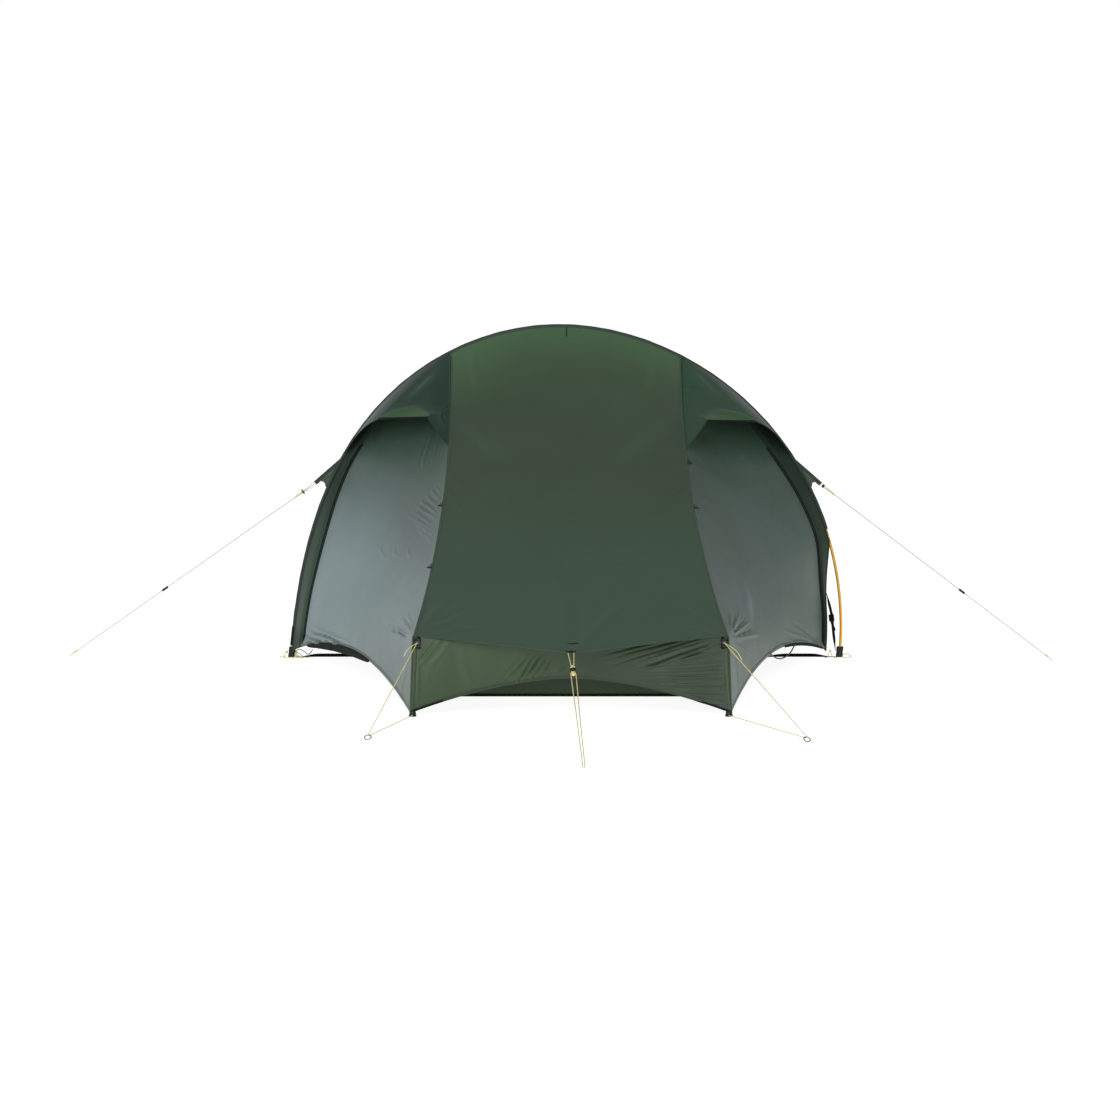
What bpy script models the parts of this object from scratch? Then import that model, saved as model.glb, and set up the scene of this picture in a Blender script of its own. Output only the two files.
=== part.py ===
# Two-person tent with one arch pole, pitched. Metres, +Z up.
# The origin is on the ground under the middle of the arch, the arch stands in the plane Y = 0,
# and the two doors are in the front half, towards -Y.
import math

import bmesh
import bpy
from mathutils import Matrix, Vector

# Arch
archHeight = 1.0415
archHalfWidth = 0.8650
archShoulder = 0.016
archLean = -0.020
archSway = 0.016
archSwayPower = 0.75
archCentre = -0.00075
poleSections = 8
segmentsPerSection = 6

# Pole
poleRadius = 0.0045
poleWall = 0.0006
ferruleRadius = 0.0035
ferruleBore = 0.0020
ferruleHalfLength = 0.034
shockCordRadius = 0.0013
cupHeight = 0.034
cupBase = 0.0042
cupHalfLength = 0.0110
cupBoreRadius = 0.0052

# Cloth
clothThickness = 0.0010
gap = 0.0003
foldGap = 0.0008
zipGap = 0.0006
hingeGap = 0.0010
sleeveHalfWidth = 0.0066
sleeveOutside = 0.0075
sleeveInside = 0.0085
sleeveBoreRadius = 0.0053
sleeveEndHeight = 0.405
sleeveFootGap = 0.0022

# Fly
seamStation = 18
doorTopStation = 11
strutTopStation = 2
endLength = 1.28
endHalfWidth = 0.430
footSpread = 0.006
footReach = 0.045
strutTopHeight = 0.215
cornerHeight = 0.010
roofOverhang = 0.080
roofOverhangDrop = 0.038
roofSag = 0.060
seamSag = 0.035
seamPinch = 0.030
sideSag = 0.030
doorTopSeamShare = 0.33
bandWidths = {"left": 0.090, "right": 0.062}
hemRise = 0.072
hemSkew = 0.75
hemClearance = 0.012
endHemRise = 0.086
endHemInset = 0.020
endFoldDepth = 0.004
endFoldCount = 7
doorFoldDepth = 0.004
doorFoldCount = 9
gatherShare = 0.86
gatherWidth = 0.09
gatherStation = 6.2
gatherReach = 1.6
openEdgeInset = 0.044
openEdgeStart = 0.1

# Vent hoods
hoodBottomStation = 10.6
hoodStandOff = 0.070
hoodKneeShare = 0.05
hoodOuterShare = 0.57
hoodEdgeShare = 0.86
hoodTipShare = 0.97
hoodLift = 0.0022
hoodCushion = 0.006
brimShare = 0.13
brimSideGap = 0.0015

# Corner struts and fittings
strutRadius = 0.0035
strutInset = 0.0060
footRadius = 0.011
footHeight = 0.0080
topBlock = (0.018, 0.006, 0.026)
topBlockInset = 0.0115
topBlockDrop = 0.018
fittingGap = 0.0003

# Inner tent
floorHalfLength = 1.080
floorHalfWidthMiddle = 0.600
floorHalfWidthEnd = 0.400
trayHeight = 0.100
trayThickness = 0.0012
innerDrop = 0.0815
innerHeight = archHeight - innerDrop
innerEndHeight = 0.270
innerEndSlope = 0.100
innerEndStep = 0.006
innerSectionPower = 2.5
innerRidgePower = 0.92
innerDoorStart = 0.08
innerDoorEnd = 0.70
innerDoorSteps = 4
hangerWidth = 0.010

# Guy lines and straps
guyDiameter = 0.0022
cornerGuyDiameter = 0.0020
tabTopStation = 10.25
tabBottomStation = 8.65
tabReach = 0.108
tabTipWidth = 0.014
tabTongueLength = 0.018
tabSlope = 41
guySpreadLeft = 1.567
guySpreadRight = 1.518
guyForwardRight = 0.120
guyEndHeight = 0.004
pegLoopLength = 0.020
pegLoopWidth = 0.009
sliderSize = (0.022, 0.010, 0.008)
sliderBoreRadius = 0.0018
sliderPlace = 0.610
endGuyReach = 2.199
endGuySideways = 0.021
endGuyNeck = 0.060
endGuyClose = 0.0026
eyeletOffset = 0.008
cornerRingPlaces = {"left": (-0.528, 1.745), "right": (0.600, 1.780)}
ringRadius = 0.0085
ringWire = 0.0013
ringTilt = 0.66
strapWidth = 0.012
strapThickness = 0.0012
strapLift = 0.0012
strapTopHeight = 0.203
lockHeight = 0.137
lockSize = (0.004, 0.016, 0.020)

sides = {"left": -1, "right": 1}
ends = {"front": -1, "rear": 1}

stationCount = poleSections * segmentsPerSection

for leftover in list(bpy.data.objects):
    bpy.data.objects.remove(leftover, do_unlink=True)

forest = (0.050, 0.085, 0.050, 1)
sage = (0.160, 0.200, 0.190, 1)
black = (0.012, 0.012, 0.012, 1)
gold = (0.560, 0.290, 0.030, 1)
paleYellow = (0.750, 0.600, 0.230, 1)
silver = (0.600, 0.600, 0.600, 1)
innerCream = (0.550, 0.530, 0.430, 1)
floorGrey = (0.030, 0.032, 0.034, 1)


def material(name, colour, roughness, metallic=0.0):
    found = bpy.data.materials.get(name)
    if found:
        return found
    made = bpy.data.materials.new(name)
    made.use_nodes = True
    shader = made.node_tree.nodes["Principled BSDF"]
    shader.inputs["Base Color"].default_value = colour
    shader.inputs["Roughness"].default_value = roughness
    shader.inputs["Metallic"].default_value = metallic
    return made


def finish_mesh(name, mesh_builder, mat, smooth=False, origin=None):
    """Turns a bmesh into a named object, with its origin on its joint where it has one."""
    bmesh.ops.recalc_face_normals(mesh_builder, faces=mesh_builder.faces[:])
    mesh = bpy.data.meshes.new(name)
    mesh_builder.to_mesh(mesh)
    mesh_builder.free()
    mesh.materials.append(mat)
    if smooth:
        mesh.shade_smooth()
        mesh.set_sharp_from_angle(angle=math.radians(40))
    made = bpy.data.objects.new(name, mesh)
    bpy.context.collection.objects.link(made)
    if origin is not None:
        for vertex in mesh.vertices:
            vertex.co -= origin
        made.location = origin
    return made


def lerp(a, b, share):
    return a + (b - a) * share


def even_shares(start, stop, count):
    return [lerp(start, stop, i / count) for i in range(count + 1)]


# Arch line

def arch_curve(angle):
    x = archCentre - archHalfWidth * math.cos(angle)
    x -= archShoulder * math.sin(2 * angle) ** 2 * math.copysign(1, math.cos(angle))
    height = max(0.0, math.sin(angle))
    x += archSway * math.sin(math.pi * height ** archSwayPower) + archLean * height ** 2
    base = cupBase + foldGap
    return Vector((x, 0, base + (archHeight - base) * height))


def even_stations(count, samples=4000):
    """Points at equal distances along the arch, from the left foot to the right foot."""
    fine = [arch_curve(math.pi * i / samples) for i in range(samples + 1)]
    travelled = [0.0]
    for i in range(samples):
        travelled.append(travelled[-1] + (fine[i + 1] - fine[i]).length)
    points = []
    j = 0
    for n in range(count + 1):
        target = travelled[-1] * n / count
        while j < samples - 1 and travelled[j + 1] < target:
            j += 1
        share = (target - travelled[j]) / (travelled[j + 1] - travelled[j])
        points.append(lerp(fine[j], fine[j + 1], share))
    return points


stations = even_stations(stationCount)


def arch(station):
    whole = min(max(int(math.floor(station)), 0), stationCount - 1)
    return lerp(stations[whole], stations[whole + 1], station - whole)


def arch_tangent(station):
    return (arch(station + 0.5) - arch(station - 0.5)).normalized()


def arch_side(side, station):
    return arch(station if side < 0 else stationCount - station)


def station_at_height(side, height):
    station = 0.0
    while arch_side(side, station).z < height:
        station += 0.01
    return station


sleeveEndStation = stationCount - station_at_height(1, sleeveEndHeight)
sleeveStartStation = station_at_height(-1, cupHeight + sleeveFootGap)


# Sweeps

def sweep(rings, builder=None):
    """Joins rings of points into a tube. Each ring is one list, or an outer and an inner list."""
    bm = builder or bmesh.new()
    hollow = isinstance(rings[0], tuple)
    outer = [[bm.verts.new(p) for p in (ring[0] if hollow else ring)] for ring in rings]
    count = len(outer[0])
    for a, b in zip(outer, outer[1:]):
        for i in range(count):
            bm.faces.new((a[i], a[(i + 1) % count], b[(i + 1) % count], b[i]))
    if not hollow:
        bm.faces.new(outer[0])
        bm.faces.new(outer[-1])
        return bm
    inner = [[bm.verts.new(p) for p in ring[1]] for ring in rings]
    for a, b in zip(inner, inner[1:]):
        for i in range(count):
            bm.faces.new((a[i], b[i], b[(i + 1) % count], a[(i + 1) % count]))
    for a, b in ((outer[0], inner[0]), (outer[-1], inner[-1])):
        for i in range(count):
            bm.faces.new((a[i], b[i], b[(i + 1) % count], a[(i + 1) % count]))
    return bm


def loop_sweep(rings):
    """Joins rings of points in turn, and the last one to the first."""
    bm = bmesh.new()
    verts = [[bm.verts.new(p) for p in ring] for ring in rings]
    count = len(verts[0])
    for a, b in zip(verts, verts[1:] + verts[:1]):
        for i in range(count):
            bm.faces.new((a[i], a[(i + 1) % count], b[(i + 1) % count], b[i]))
    return bm


def arch_ring(station, profile):
    """Places a profile of (along Y, outwards) points square to the arch."""
    centre = arch(station)
    tangent = arch_tangent(station)
    outwards = Vector((-tangent.z, 0, tangent.x))
    return [centre + Vector((0, y, 0)) + outwards * n for y, n in profile]


def round_profile(radius, count):
    turn = 2 * math.pi / count
    return [(radius * math.cos(turn * i), radius * math.sin(turn * i)) for i in range(count)]


def stations_between(start, end):
    whole = range(math.ceil(start + 1e-6), math.floor(end - 1e-6) + 1)
    return [start, *whole, end]


# Pole

aluminium = material("gold_anodised_aluminium", gold, 0.3, 1.0)
elastic = material("elastic_cord", black, 0.8)
plastic = material("black_plastic", black, 0.4)

stationLength = (stations[1] - stations[0]).length
halfGap = gap / 2 / stationLength
ferruleReach = ferruleHalfLength / stationLength
poleBore = poleRadius - poleWall
for number in range(poleSections):
    first = number * segmentsPerSection + (halfGap if number else 0)
    last = (number + 1) * segmentsPerSection - (halfGap if number < poleSections - 1 else 0)
    run = stations_between(first, last)
    joint = (number + 1) * segmentsPerSection
    # Each turn is (station, radius): up the outside, round the end, and back down the bore.
    turns = [(s, poleRadius) for s in run]
    if number < poleSections - 1:
        turns += [(last, ferruleRadius), (joint + ferruleReach, ferruleRadius)]
        turns += [(joint + ferruleReach, ferruleBore), (joint, ferruleBore)]
        turns += [(joint - ferruleReach, ferruleBore), (joint - ferruleReach, poleBore)]
        run = [s for s in run if s < joint - ferruleReach - 0.05]
    turns += [(s, poleBore) for s in reversed(run)]
    tube = loop_sweep([arch_ring(s, round_profile(radius, 8)) for s, radius in turns])
    finish_mesh(f"pole_section_{number + 1}", tube, aluminium, smooth=True)

cordProfile = round_profile(shockCordRadius, 6)
cordRun = stations_between(0, stationCount)
shockCord = sweep([arch_ring(s, cordProfile) for s in cordRun])
finish_mesh("pole_shock_cord", shockCord, elastic, smooth=True)


def cup_ring(side, height, half_length, half_width, count=10):
    """A flat ring round the pole line: oval outside, round inside."""
    low = arch_side(side, 0)
    high = arch_side(side, 1)
    centre = lerp(low, high, (height - low.z) / (high.z - low.z))
    turn = 2 * math.pi / count
    ring = []
    for i in range(count):
        across = half_length * math.cos(turn * i)
        along = half_width * math.sin(turn * i)
        ring.append(Vector((centre.x + across, along, height)))
    return ring


for word, side in sides.items():
    bm = bmesh.new()
    outerLow = cup_ring(side, 0, cupHalfLength, sleeveHalfWidth)
    outerHigh = cup_ring(side, cupHeight, cupHalfLength, sleeveHalfWidth)
    boreHigh = cup_ring(side, cupHeight, cupBoreRadius, cupBoreRadius)
    boreLow = cup_ring(side, cupBase, cupBoreRadius, cupBoreRadius)
    sweep([outerLow, outerHigh, boreHigh, boreLow], builder=bm)
    finish_mesh(f"pole_cup_{word}", bm, plastic, smooth=True)

# Sleeve

ripstop = material("forest_ripstop", forest, 0.5)
sideCloth = material("silvered_ripstop", sage, 0.4)
webbing = material("black_webbing", black, 0.85)

sleeveOutline = [
    (-sleeveHalfWidth, -0.004),
    (-sleeveHalfWidth, 0.004),
    (-0.0036, sleeveOutside),
    (0.0036, sleeveOutside),
    (sleeveHalfWidth, 0.004),
    (sleeveHalfWidth, -0.004),
    (0.0036, -sleeveInside),
    (-0.0036, -sleeveInside),
]
sleeveBore = [
    (
        sleeveBoreRadius * math.cos(math.radians(202.5 - 45 * i)),
        sleeveBoreRadius * math.sin(math.radians(202.5 - 45 * i)),
    )
    for i in range(8)
]
sleeveRun = stations_between(sleeveStartStation, sleeveEndStation)
sleeve = sweep([(arch_ring(s, sleeveOutline), arch_ring(s, sleeveBore)) for s in sleeveRun])
finish_mesh("pole_sleeve", sleeve, ripstop, smooth=True)


# Cloth sheets

def sheet(grid, thickness=clothThickness, skip=(), builder=None):
    """A closed solid round a grid of points. Cells in skip, as (row, column), are left open."""
    bm = builder or bmesh.new()
    rows = len(grid)
    columns = len(grid[0])
    cells = [(r, c) for r in range(rows - 1) for c in range(columns - 1) if (r, c) not in skip]
    top = {}
    bottom = {}

    def pair(r, c):
        if (r, c) not in top:
            down = grid[min(r + 1, rows - 1)][c] - grid[max(r - 1, 0)][c]
            across = grid[r][min(c + 1, columns - 1)] - grid[r][max(c - 1, 0)]
            normal = down.cross(across).normalized() * (thickness / 2)
            top[r, c] = bm.verts.new(grid[r][c] + normal)
            bottom[r, c] = bm.verts.new(grid[r][c] - normal)
        return top[r, c], bottom[r, c]

    edges = {}
    for r, c in cells:
        corners = [(r, c), (r, c + 1), (r + 1, c + 1), (r + 1, c)]
        for corner in corners:
            pair(*corner)
        # Both skins are split along the same diagonal, so they stay one thickness apart.
        falling = grid[r + 1][c + 1] - grid[r][c]
        rising = grid[r + 1][c] - grid[r][c + 1]
        split = corners if falling.length <= rising.length else corners[1:] + corners[:1]
        for triangle in (split[:3], [split[0], *split[2:]]):
            bm.faces.new([top[k] for k in triangle])
            bm.faces.new([bottom[k] for k in reversed(triangle)])
        for a, b in zip(corners, corners[1:] + corners[:1]):
            if (b, a) in edges:
                del edges[b, a]
            else:
                edges[a, b] = True
    for a, b in edges:
        bm.faces.new((top[b], top[a], bottom[a], bottom[b]))
    return bm


def draw_in(grid, first_row=0.0, last_row=0.0, first_column=0.0, last_column=0.0):
    """Moves the border of a grid inwards by real distances."""
    def towards(a, b, distance):
        return a + (b - a).normalized() * distance if distance else a.copy()

    grid = [[p.copy() for p in row] for row in grid]
    grid[0] = [towards(a, b, first_row) for a, b in zip(grid[0], grid[1])]
    grid[-1] = [towards(a, b, last_row) for a, b in zip(grid[-1], grid[-2])]
    for row in grid:
        row[0] = towards(row[0], row[1], first_column)
        row[-1] = towards(row[-1], row[-2], last_column)
    return grid


edgeOffset = sleeveHalfWidth + foldGap


def arch_edge(side, end, station):
    """Where a panel meets the sleeve. Below the sleeve's open end it hangs free inside the pole."""
    openStation = stationCount - sleeveEndStation
    point = arch_side(side, station)
    if side > 0 and station < openStation:
        share = max(0.0, 1 - station / openStation - openEdgeStart) / (1 - openEdgeStart)
        point.x -= openEdgeInset * math.sin(math.pi / 2 * min(1, share * 1.7))
        offset = lerp(edgeOffset, foldGap, min(1, share * 4))
    else:
        offset = edgeOffset
    return point + Vector((0, end * offset, 0))


def roof_point(end, across, along):
    """across runs from -1 to 1 between the seams, along from 0 at the arch to 1 at the end edge."""
    station = stationCount / 2 + across * (stationCount / 2 - seamStation)
    top = arch(station) + Vector((0, end * edgeOffset, 0))
    pull = max(0.0, 1 - abs(across)) ** 1.1
    low = Vector((
        endHalfWidth * across,
        end * (endLength + roofOverhang * pull),
        strutTopHeight - roofOverhangDrop * pull,
    ))
    point = lerp(top, low, along)
    bow = 4 * along * (1 - along)
    point.x -= seamPinch * bow * across
    point.z -= bow * lerp(roofSag, seamSag, across * across)
    return point


def seam(side, end, along):
    return roof_point(end, side, along)


def corner(side, end):
    return Vector((side * (endHalfWidth + footSpread), end * (endLength + footReach), cornerHeight))


def seam_by_station(side, end, station):
    """The front or rear border of a side, level by level: roof seam, then corner strut."""
    if station >= doorTopStation:
        share = (seamStation - station) / (seamStation - doorTopStation)
        return seam(side, end, doorTopSeamShare * share)
    if station >= strutTopStation:
        share = (doorTopStation - station) / (doorTopStation - strutTopStation)
        return seam(side, end, lerp(doorTopSeamShare, 1, share))
    return lerp(seam(side, end, 1), corner(side, end), 1 - station / strutTopStation)


def fold_line(side, end, station):
    """The straight line that a door turns about, from the seam to the ground corner."""
    top = seam(side, end, doorTopSeamShare)
    return lerp(top, corner(side, end), (doorTopStation - station) / doorTopStation)


def outwards(side, end):
    return Vector((side * 0.84, end * 0.29, 0.46))


def hem_station(across):
    """How far up the hem is cut, in stations, at a share of the way from foot to corner."""
    height = hemClearance * (1 - across) + hemRise * max(0.0, math.sin(math.pi * across ** hemSkew))
    return height / stationLength


def side_point(side, end, station, across, border):
    """A point of a side panel between the arch and a border line."""
    cut = hem_station(min(max(across, 0), 1))
    level = cut + (doorTopStation - cut) * station / doorTopStation
    if station > doorTopStation:
        level = station
    a = arch_edge(side, end, level)
    b = border(side, end, level)
    taper = min(1, (seamStation - level) / 6)
    bow = sideSag * 4 * across * (1 - across) * taper
    return lerp(a, b, across) - outwards(side, end) * bow


roofColumns = 10


def roof_row(end, along):
    return [roof_point(end, -1 + 2 * c / roofColumns, along) for c in range(roofColumns + 1)]


# The rear roof ends at its seams.
rearRoof = [roof_row(1, r / 12) for r in range(13)]
rearRoof = draw_in(rearRoof, first_column=foldGap, last_column=foldGap)
finish_mesh("fly_roof_rear", sheet(rearRoof), ripstop, smooth=True)

# The front roof goes on over each seam as a gore, down to the line that the door turns about.
goreStart = doorTopSeamShare + 0.035
frontAlongs = [0, 0.08, 0.165, 0.25, doorTopSeamShare - 0.004, goreStart]
frontAlongs += [goreStart + (1 - goreStart) * i / 9 for i in range(1, 10)]
frontRoof = []
for along in frontAlongs:
    row = roof_row(-1, along)
    gores = {}
    for side, edge, inner in ((-1, 0, 1), (1, -1, -2)):
        out = (row[edge] - row[inner]).normalized()
        if along < goreStart:
            row[edge] = row[edge] - out * foldGap
            gores[side] = [row[edge] + out * 0.02, row[edge] + out * 0.01]
        else:
            share = (along - doorTopSeamShare) / (1 - doorTopSeamShare)
            fold = lerp(seam(side, -1, doorTopSeamShare), corner(side, -1), share)
            fold += (row[edge] - fold).normalized() * hingeGap
            gores[side] = [fold, lerp(fold, row[edge], 0.5)]
    frontRoof.append(gores[-1] + row + gores[1][::-1])
lastColumn = len(frontRoof[0]) - 2
goreColumns = (0, 1, lastColumn - 1, lastColumn)
aboveGore = {(r, c) for r in range(frontAlongs.index(goreStart)) for c in goreColumns}
finish_mesh("fly_roof_front", sheet(frontRoof, skip=aboveGore), ripstop, smooth=True)


def end_wall_point(end, across, down):
    reach = endLength + roofOverhang * max(0.0, 1 - abs(across)) ** 1.1
    top = roof_point(end, across, (endLength - clothThickness / 2) / reach)
    top.z -= clothThickness + foldGap
    low = Vector((
        (endHalfWidth + footSpread * down) * across,
        end * (endLength + footReach * abs(across) ** 3 - endHemInset * (1 - across * across) ** 2),
        cornerHeight + endHemRise * (1 - abs(across) ** 1.7),
    ))
    point = lerp(top, low, down)
    fade = (1 - across * across) * math.sin(math.pi * min(1, down * 0.9 + 0.05))
    point.y += end * endFoldDepth * fade * math.cos(endFoldCount * math.pi * across)
    return point


for word, end in ends.items():
    columns = 22
    rows = 4
    shares = even_shares(-1, 1, columns)
    grid = [[end_wall_point(end, across, r / rows) for across in shares] for r in range(rows + 1)]
    grid = draw_in(grid, first_column=foldGap, last_column=foldGap)
    finish_mesh(f"end_wall_{word}", sheet(grid), ripstop, smooth=True)


def side_grid(side, end, first, last, row_count, column_shares, border):
    """Rows from the lowest level to the highest, columns from the arch to the border."""
    grid = []
    for r in range(row_count + 1):
        station = lerp(first, last, r / row_count)
        shares = column_shares(station)
        grid.append([side_point(side, end, station, share, border) for share in shares])
    return grid


def frame_border(side, end, station):
    """The door's fold line below the top of the door, the roof seam above it."""
    if station < doorTopStation:
        return fold_line(side, end, station)
    return seam_by_station(side, end, station)


def zip_share(side, end, station):
    width = (frame_border(side, end, station) - arch_edge(side, end, station)).length
    return min(0.4, bandWidths["left" if side < 0 else "right"] / width)


topStation = seamStation - 0.35

for word, side in sides.items():
    # The fixed side of the rear half, in one piece from the arch to the seam.
    rearShares = [0, 0.13, 0.26, 0.4, 0.55, 0.7, 0.83, 0.93, 1]
    grid = side_grid(side, 1, 0, topStation, 17, lambda s: rearShares, seam_by_station)
    grid = draw_in(grid, last_column=foldGap)
    finish_mesh(f"fly_side_rear_{word}", sheet(grid), sideCloth, smooth=True)

    # What stays of the front side when the door opens: a band beside the sleeve, which carries the
    # zip, and the vent panel above the door.
    levels = [doorTopStation * i / 22 for i in range(22)]
    doorTopRow = len(levels)
    levels += [lerp(doorTopStation, topStation, i / 8) for i in range(9)]
    grid = []
    for station in levels:
        edge = zip_share(side, -1, station)
        shares = [0, edge / 2, *even_shares(edge, 1, 5)]
        grid.append([side_point(side, -1, station, share, frame_border) for share in shares])
    grid = draw_in(grid, last_column=foldGap)
    doorway = {(r, c) for r in range(doorTopRow) for c in range(2, len(grid[0]) - 1)}
    finish_mesh(f"door_frame_{word}", sheet(grid, skip=doorway), ripstop, smooth=True)

    # The door leaf, from the zip to the fold line, with gathers near the seam.
    def leaf_point(station, share):
        point = side_point(side, -1, station, share, fold_line)
        near = (share - gatherShare) / gatherWidth
        level = (station - gatherStation) / gatherReach
        wave = math.cos(2 * math.pi * doorFoldCount * level * gatherReach / doorTopStation)
        zone = math.exp(-near * near - level * level)
        return point + outwards(side, -1) * (doorFoldDepth * zone * wave)

    leafShares = [0, 0.18, 0.36, 0.52, 0.66, 0.76, 0.85, 0.93, 1]
    gathered = (gatherStation - 2 * gatherReach, gatherStation + 2 * gatherReach)
    leafStations = even_shares(0, gathered[0], 3) + even_shares(*gathered, 16)[1:]
    leafStations += even_shares(gathered[1], doorTopStation, 3)[1:]
    grid = []
    for station in leafStations:
        start = zip_share(side, -1, min(station, doorTopStation - 0.001))
        grid.append([leaf_point(station, lerp(start, 1, share)) for share in leafShares])
    grid = draw_in(grid, last_row=foldGap, first_column=zipGap, last_column=hingeGap)
    hinge = fold_line(side, -1, doorTopStation)
    finish_mesh(f"door_{word}", sheet(grid), sideCloth, smooth=True, origin=hinge)


# Vent hoods

def hood_point(side, down, across):
    """down runs from the peak to the free edge, across from the seam to the arch."""
    if across <= hoodKneeShare:
        rise = across / hoodKneeShare
    elif across <= hoodOuterShare:
        rise = 1.0
    else:
        rise = (1 - across) / (1 - hoodOuterShare)
    level = down * lerp(1, hoodEdgeShare, rise)
    a = seam(side, -1, doorTopSeamShare * hoodTipShare * level)
    b = arch_edge(side, -1, lerp(seamStation, hoodBottomStation, level))
    cushion = hoodCushion * math.sin(math.pi * across) ** 0.5 * min(1, down * 3)
    stand = hoodLift + cushion + hoodStandOff * math.sin(math.pi / 2 * rise) * down ** 1.5
    return lerp(a, b, across) + Vector((side * 0.63, -0.435, 0.64)) * stand


brimSteps = 5
hoodColumns = [0, *even_shares(hoodKneeShare, hoodOuterShare, brimSteps)]
hoodColumns += even_shares(hoodOuterShare, 1, 3)[1:]
hoodRows = [0.15, 0.26, 0.38, 0.5, 0.62, 0.75, 1 - brimShare, 1]
brimFirst = 1
brimLast = brimFirst + brimSteps


def straight(points):
    """Places the points of a row on the line between its ends, spaced as they were."""
    total = [0.0]
    for a, b in zip(points, points[1:]):
        total.append(total[-1] + (b - a).length)
    return [lerp(points[0], points[-1], t / total[-1]) for t in total]


for word, side in sides.items():
    grid = [[hood_point(side, down, across) for across in hoodColumns] for down in hoodRows]
    for row in (-2, -1):
        grid[row][brimFirst:brimLast + 1] = straight(grid[row][brimFirst:brimLast + 1])
    brim = [row[brimFirst:brimLast + 1] for row in grid[-2:]]
    shell = draw_in(grid, first_column=foldGap, last_column=gap)
    brimRow = len(hoodRows) - 2
    skip = {(brimRow, c) for c in range(brimFirst, brimLast)}
    finish_mesh(f"vent_hood_{word}", sheet(shell, skip=skip), ripstop, smooth=True)
    brim = draw_in(brim, first_row=hingeGap, first_column=brimSideGap, last_column=brimSideGap)
    finish_mesh(f"vent_brim_{word}", sheet(brim), ripstop, origin=grid[-2][brimFirst])


# Corner struts, each with its moulded foot, and the fittings at their tops

def block(centre, size, turn=None):
    """A box with softly bevelled edges."""
    bm = bmesh.new()
    bmesh.ops.create_cube(bm, size=1)
    for vertex in bm.verts:
        vertex.co = Vector([vertex.co[i] * size[i] for i in range(3)])
    bmesh.ops.bevel(bm, geom=bm.edges[:], offset=min(size) * 0.2, segments=1, affect="EDGES")
    for vertex in bm.verts:
        vertex.co = (turn @ vertex.co if turn else vertex.co) + centre
    return bm


def strip(points, width_axis, width, thickness):
    """A flat strap along a line of points."""
    half = width_axis * (width / 2)
    return sheet([[p - half, p + half] for p in points], thickness)


# The moulded foot, from the ground up: share of its height, share of its radius
footOutline = ((0, 0.86), (0.15, 1), (0.7, 1), (1, 0.8))
cornerLean = math.atan2(footReach, strutTopHeight - cornerHeight)


def fitting_place(side, end):
    """The middle of the fitting on the end wall by a strut's top, and the way that it faces."""
    drop = strutTopHeight - cornerHeight
    facing = Vector((0, end * math.cos(cornerLean), math.sin(cornerLean)))
    spots = []
    for aside in (0, -0.5, 0.5):
        across = side * (1 - (topBlockInset + aside * topBlock[0]) / endHalfWidth)
        for lower in (0, -0.5, 0.5):
            spots.append(end_wall_point(end, across, (topBlockDrop + lower * topBlock[2]) / drop))
    proud = max((spot - spots[0]).dot(facing) for spot in spots)
    return spots[0] + facing * (proud + clothThickness / 2 + fittingGap + topBlock[1] / 2), facing


for endWord, end in ends.items():
    for word, side in sides.items():
        inward = Vector((-side * strutInset, -end * strutInset, 0))
        foot = corner(side, end) + inward
        head = seam(side, end, 1) + inward
        reach = (endLength - strutInset + strutRadius) / endLength
        cloth = roof_point(end, head.x / endHalfWidth, reach)
        head.z = cloth.z - clothThickness / 2 - gap
        rings = []
        for share, wide in footOutline:
            level = Vector((foot.x, foot.y, footHeight * share))
            ring = round_profile(footRadius * wide, 14)
            rings.append([level + Vector((a, b, 0)) for a, b in ring])
        for place in (Vector((foot.x, foot.y, footHeight)), head):
            rings.append([place + Vector((a, b, 0)) for a, b in round_profile(strutRadius, 14)])
        finish_mesh(f"corner_strut_{endWord}_{word}", sweep(rings), plastic, smooth=True)
        place, facing = fitting_place(side, end)
        turn = Matrix.Rotation(end * cornerLean, 3, "X")
        finish_mesh(f"corner_fitting_{endWord}_{word}", block(place, topBlock, turn), plastic)


# Inner tent

def floor_half_width(y):
    return lerp(floorHalfWidthMiddle, floorHalfWidthEnd, abs(y) / floorHalfLength)


def tray_outline(inset, height):
    corners = ((-1, -1), (-1, 0), (-1, 1), (1, 1), (1, 0), (1, -1))
    outline = []
    for sx, sy in corners:
        y = sy * (floorHalfLength - inset)
        outline.append(Vector((sx * (floor_half_width(sy * floorHalfLength) - inset), y, height)))
    return outline


groundCloth = material("dark_groundsheet", floorGrey, 0.6)
innerCloth = material("pale_inner_cloth", innerCream, 0.8)

tray = sweep([
    tray_outline(0, 0),
    tray_outline(0, trayHeight),
    tray_outline(trayThickness, trayHeight),
    tray_outline(trayThickness, trayThickness),
])
finish_mesh("inner_floor", tray, groundCloth)


def inner_height(y):
    main = floorHalfLength - innerEndSlope
    if abs(y) <= main:
        share = (abs(y) / main) ** innerRidgePower
        return lerp(innerHeight, innerEndHeight, share)
    return lerp(innerEndHeight, trayHeight + innerEndStep, (abs(y) - main) / innerEndSlope)


canopyBase = trayHeight + foldGap
canopySteps = 16


def canopy_point(y, share):
    """share runs over the section from the left edge of the tray to the right."""
    angle = math.pi * share
    power = 2 / innerSectionPower
    half = floor_half_width(y) - trayThickness / 2
    across = math.copysign(abs(math.cos(angle)) ** power, -math.cos(angle))
    height = math.sin(angle) ** power if 0 < share < 1 else 0
    return Vector((half * across, y, canopyBase + (inner_height(y) - canopyBase) * height))


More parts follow.
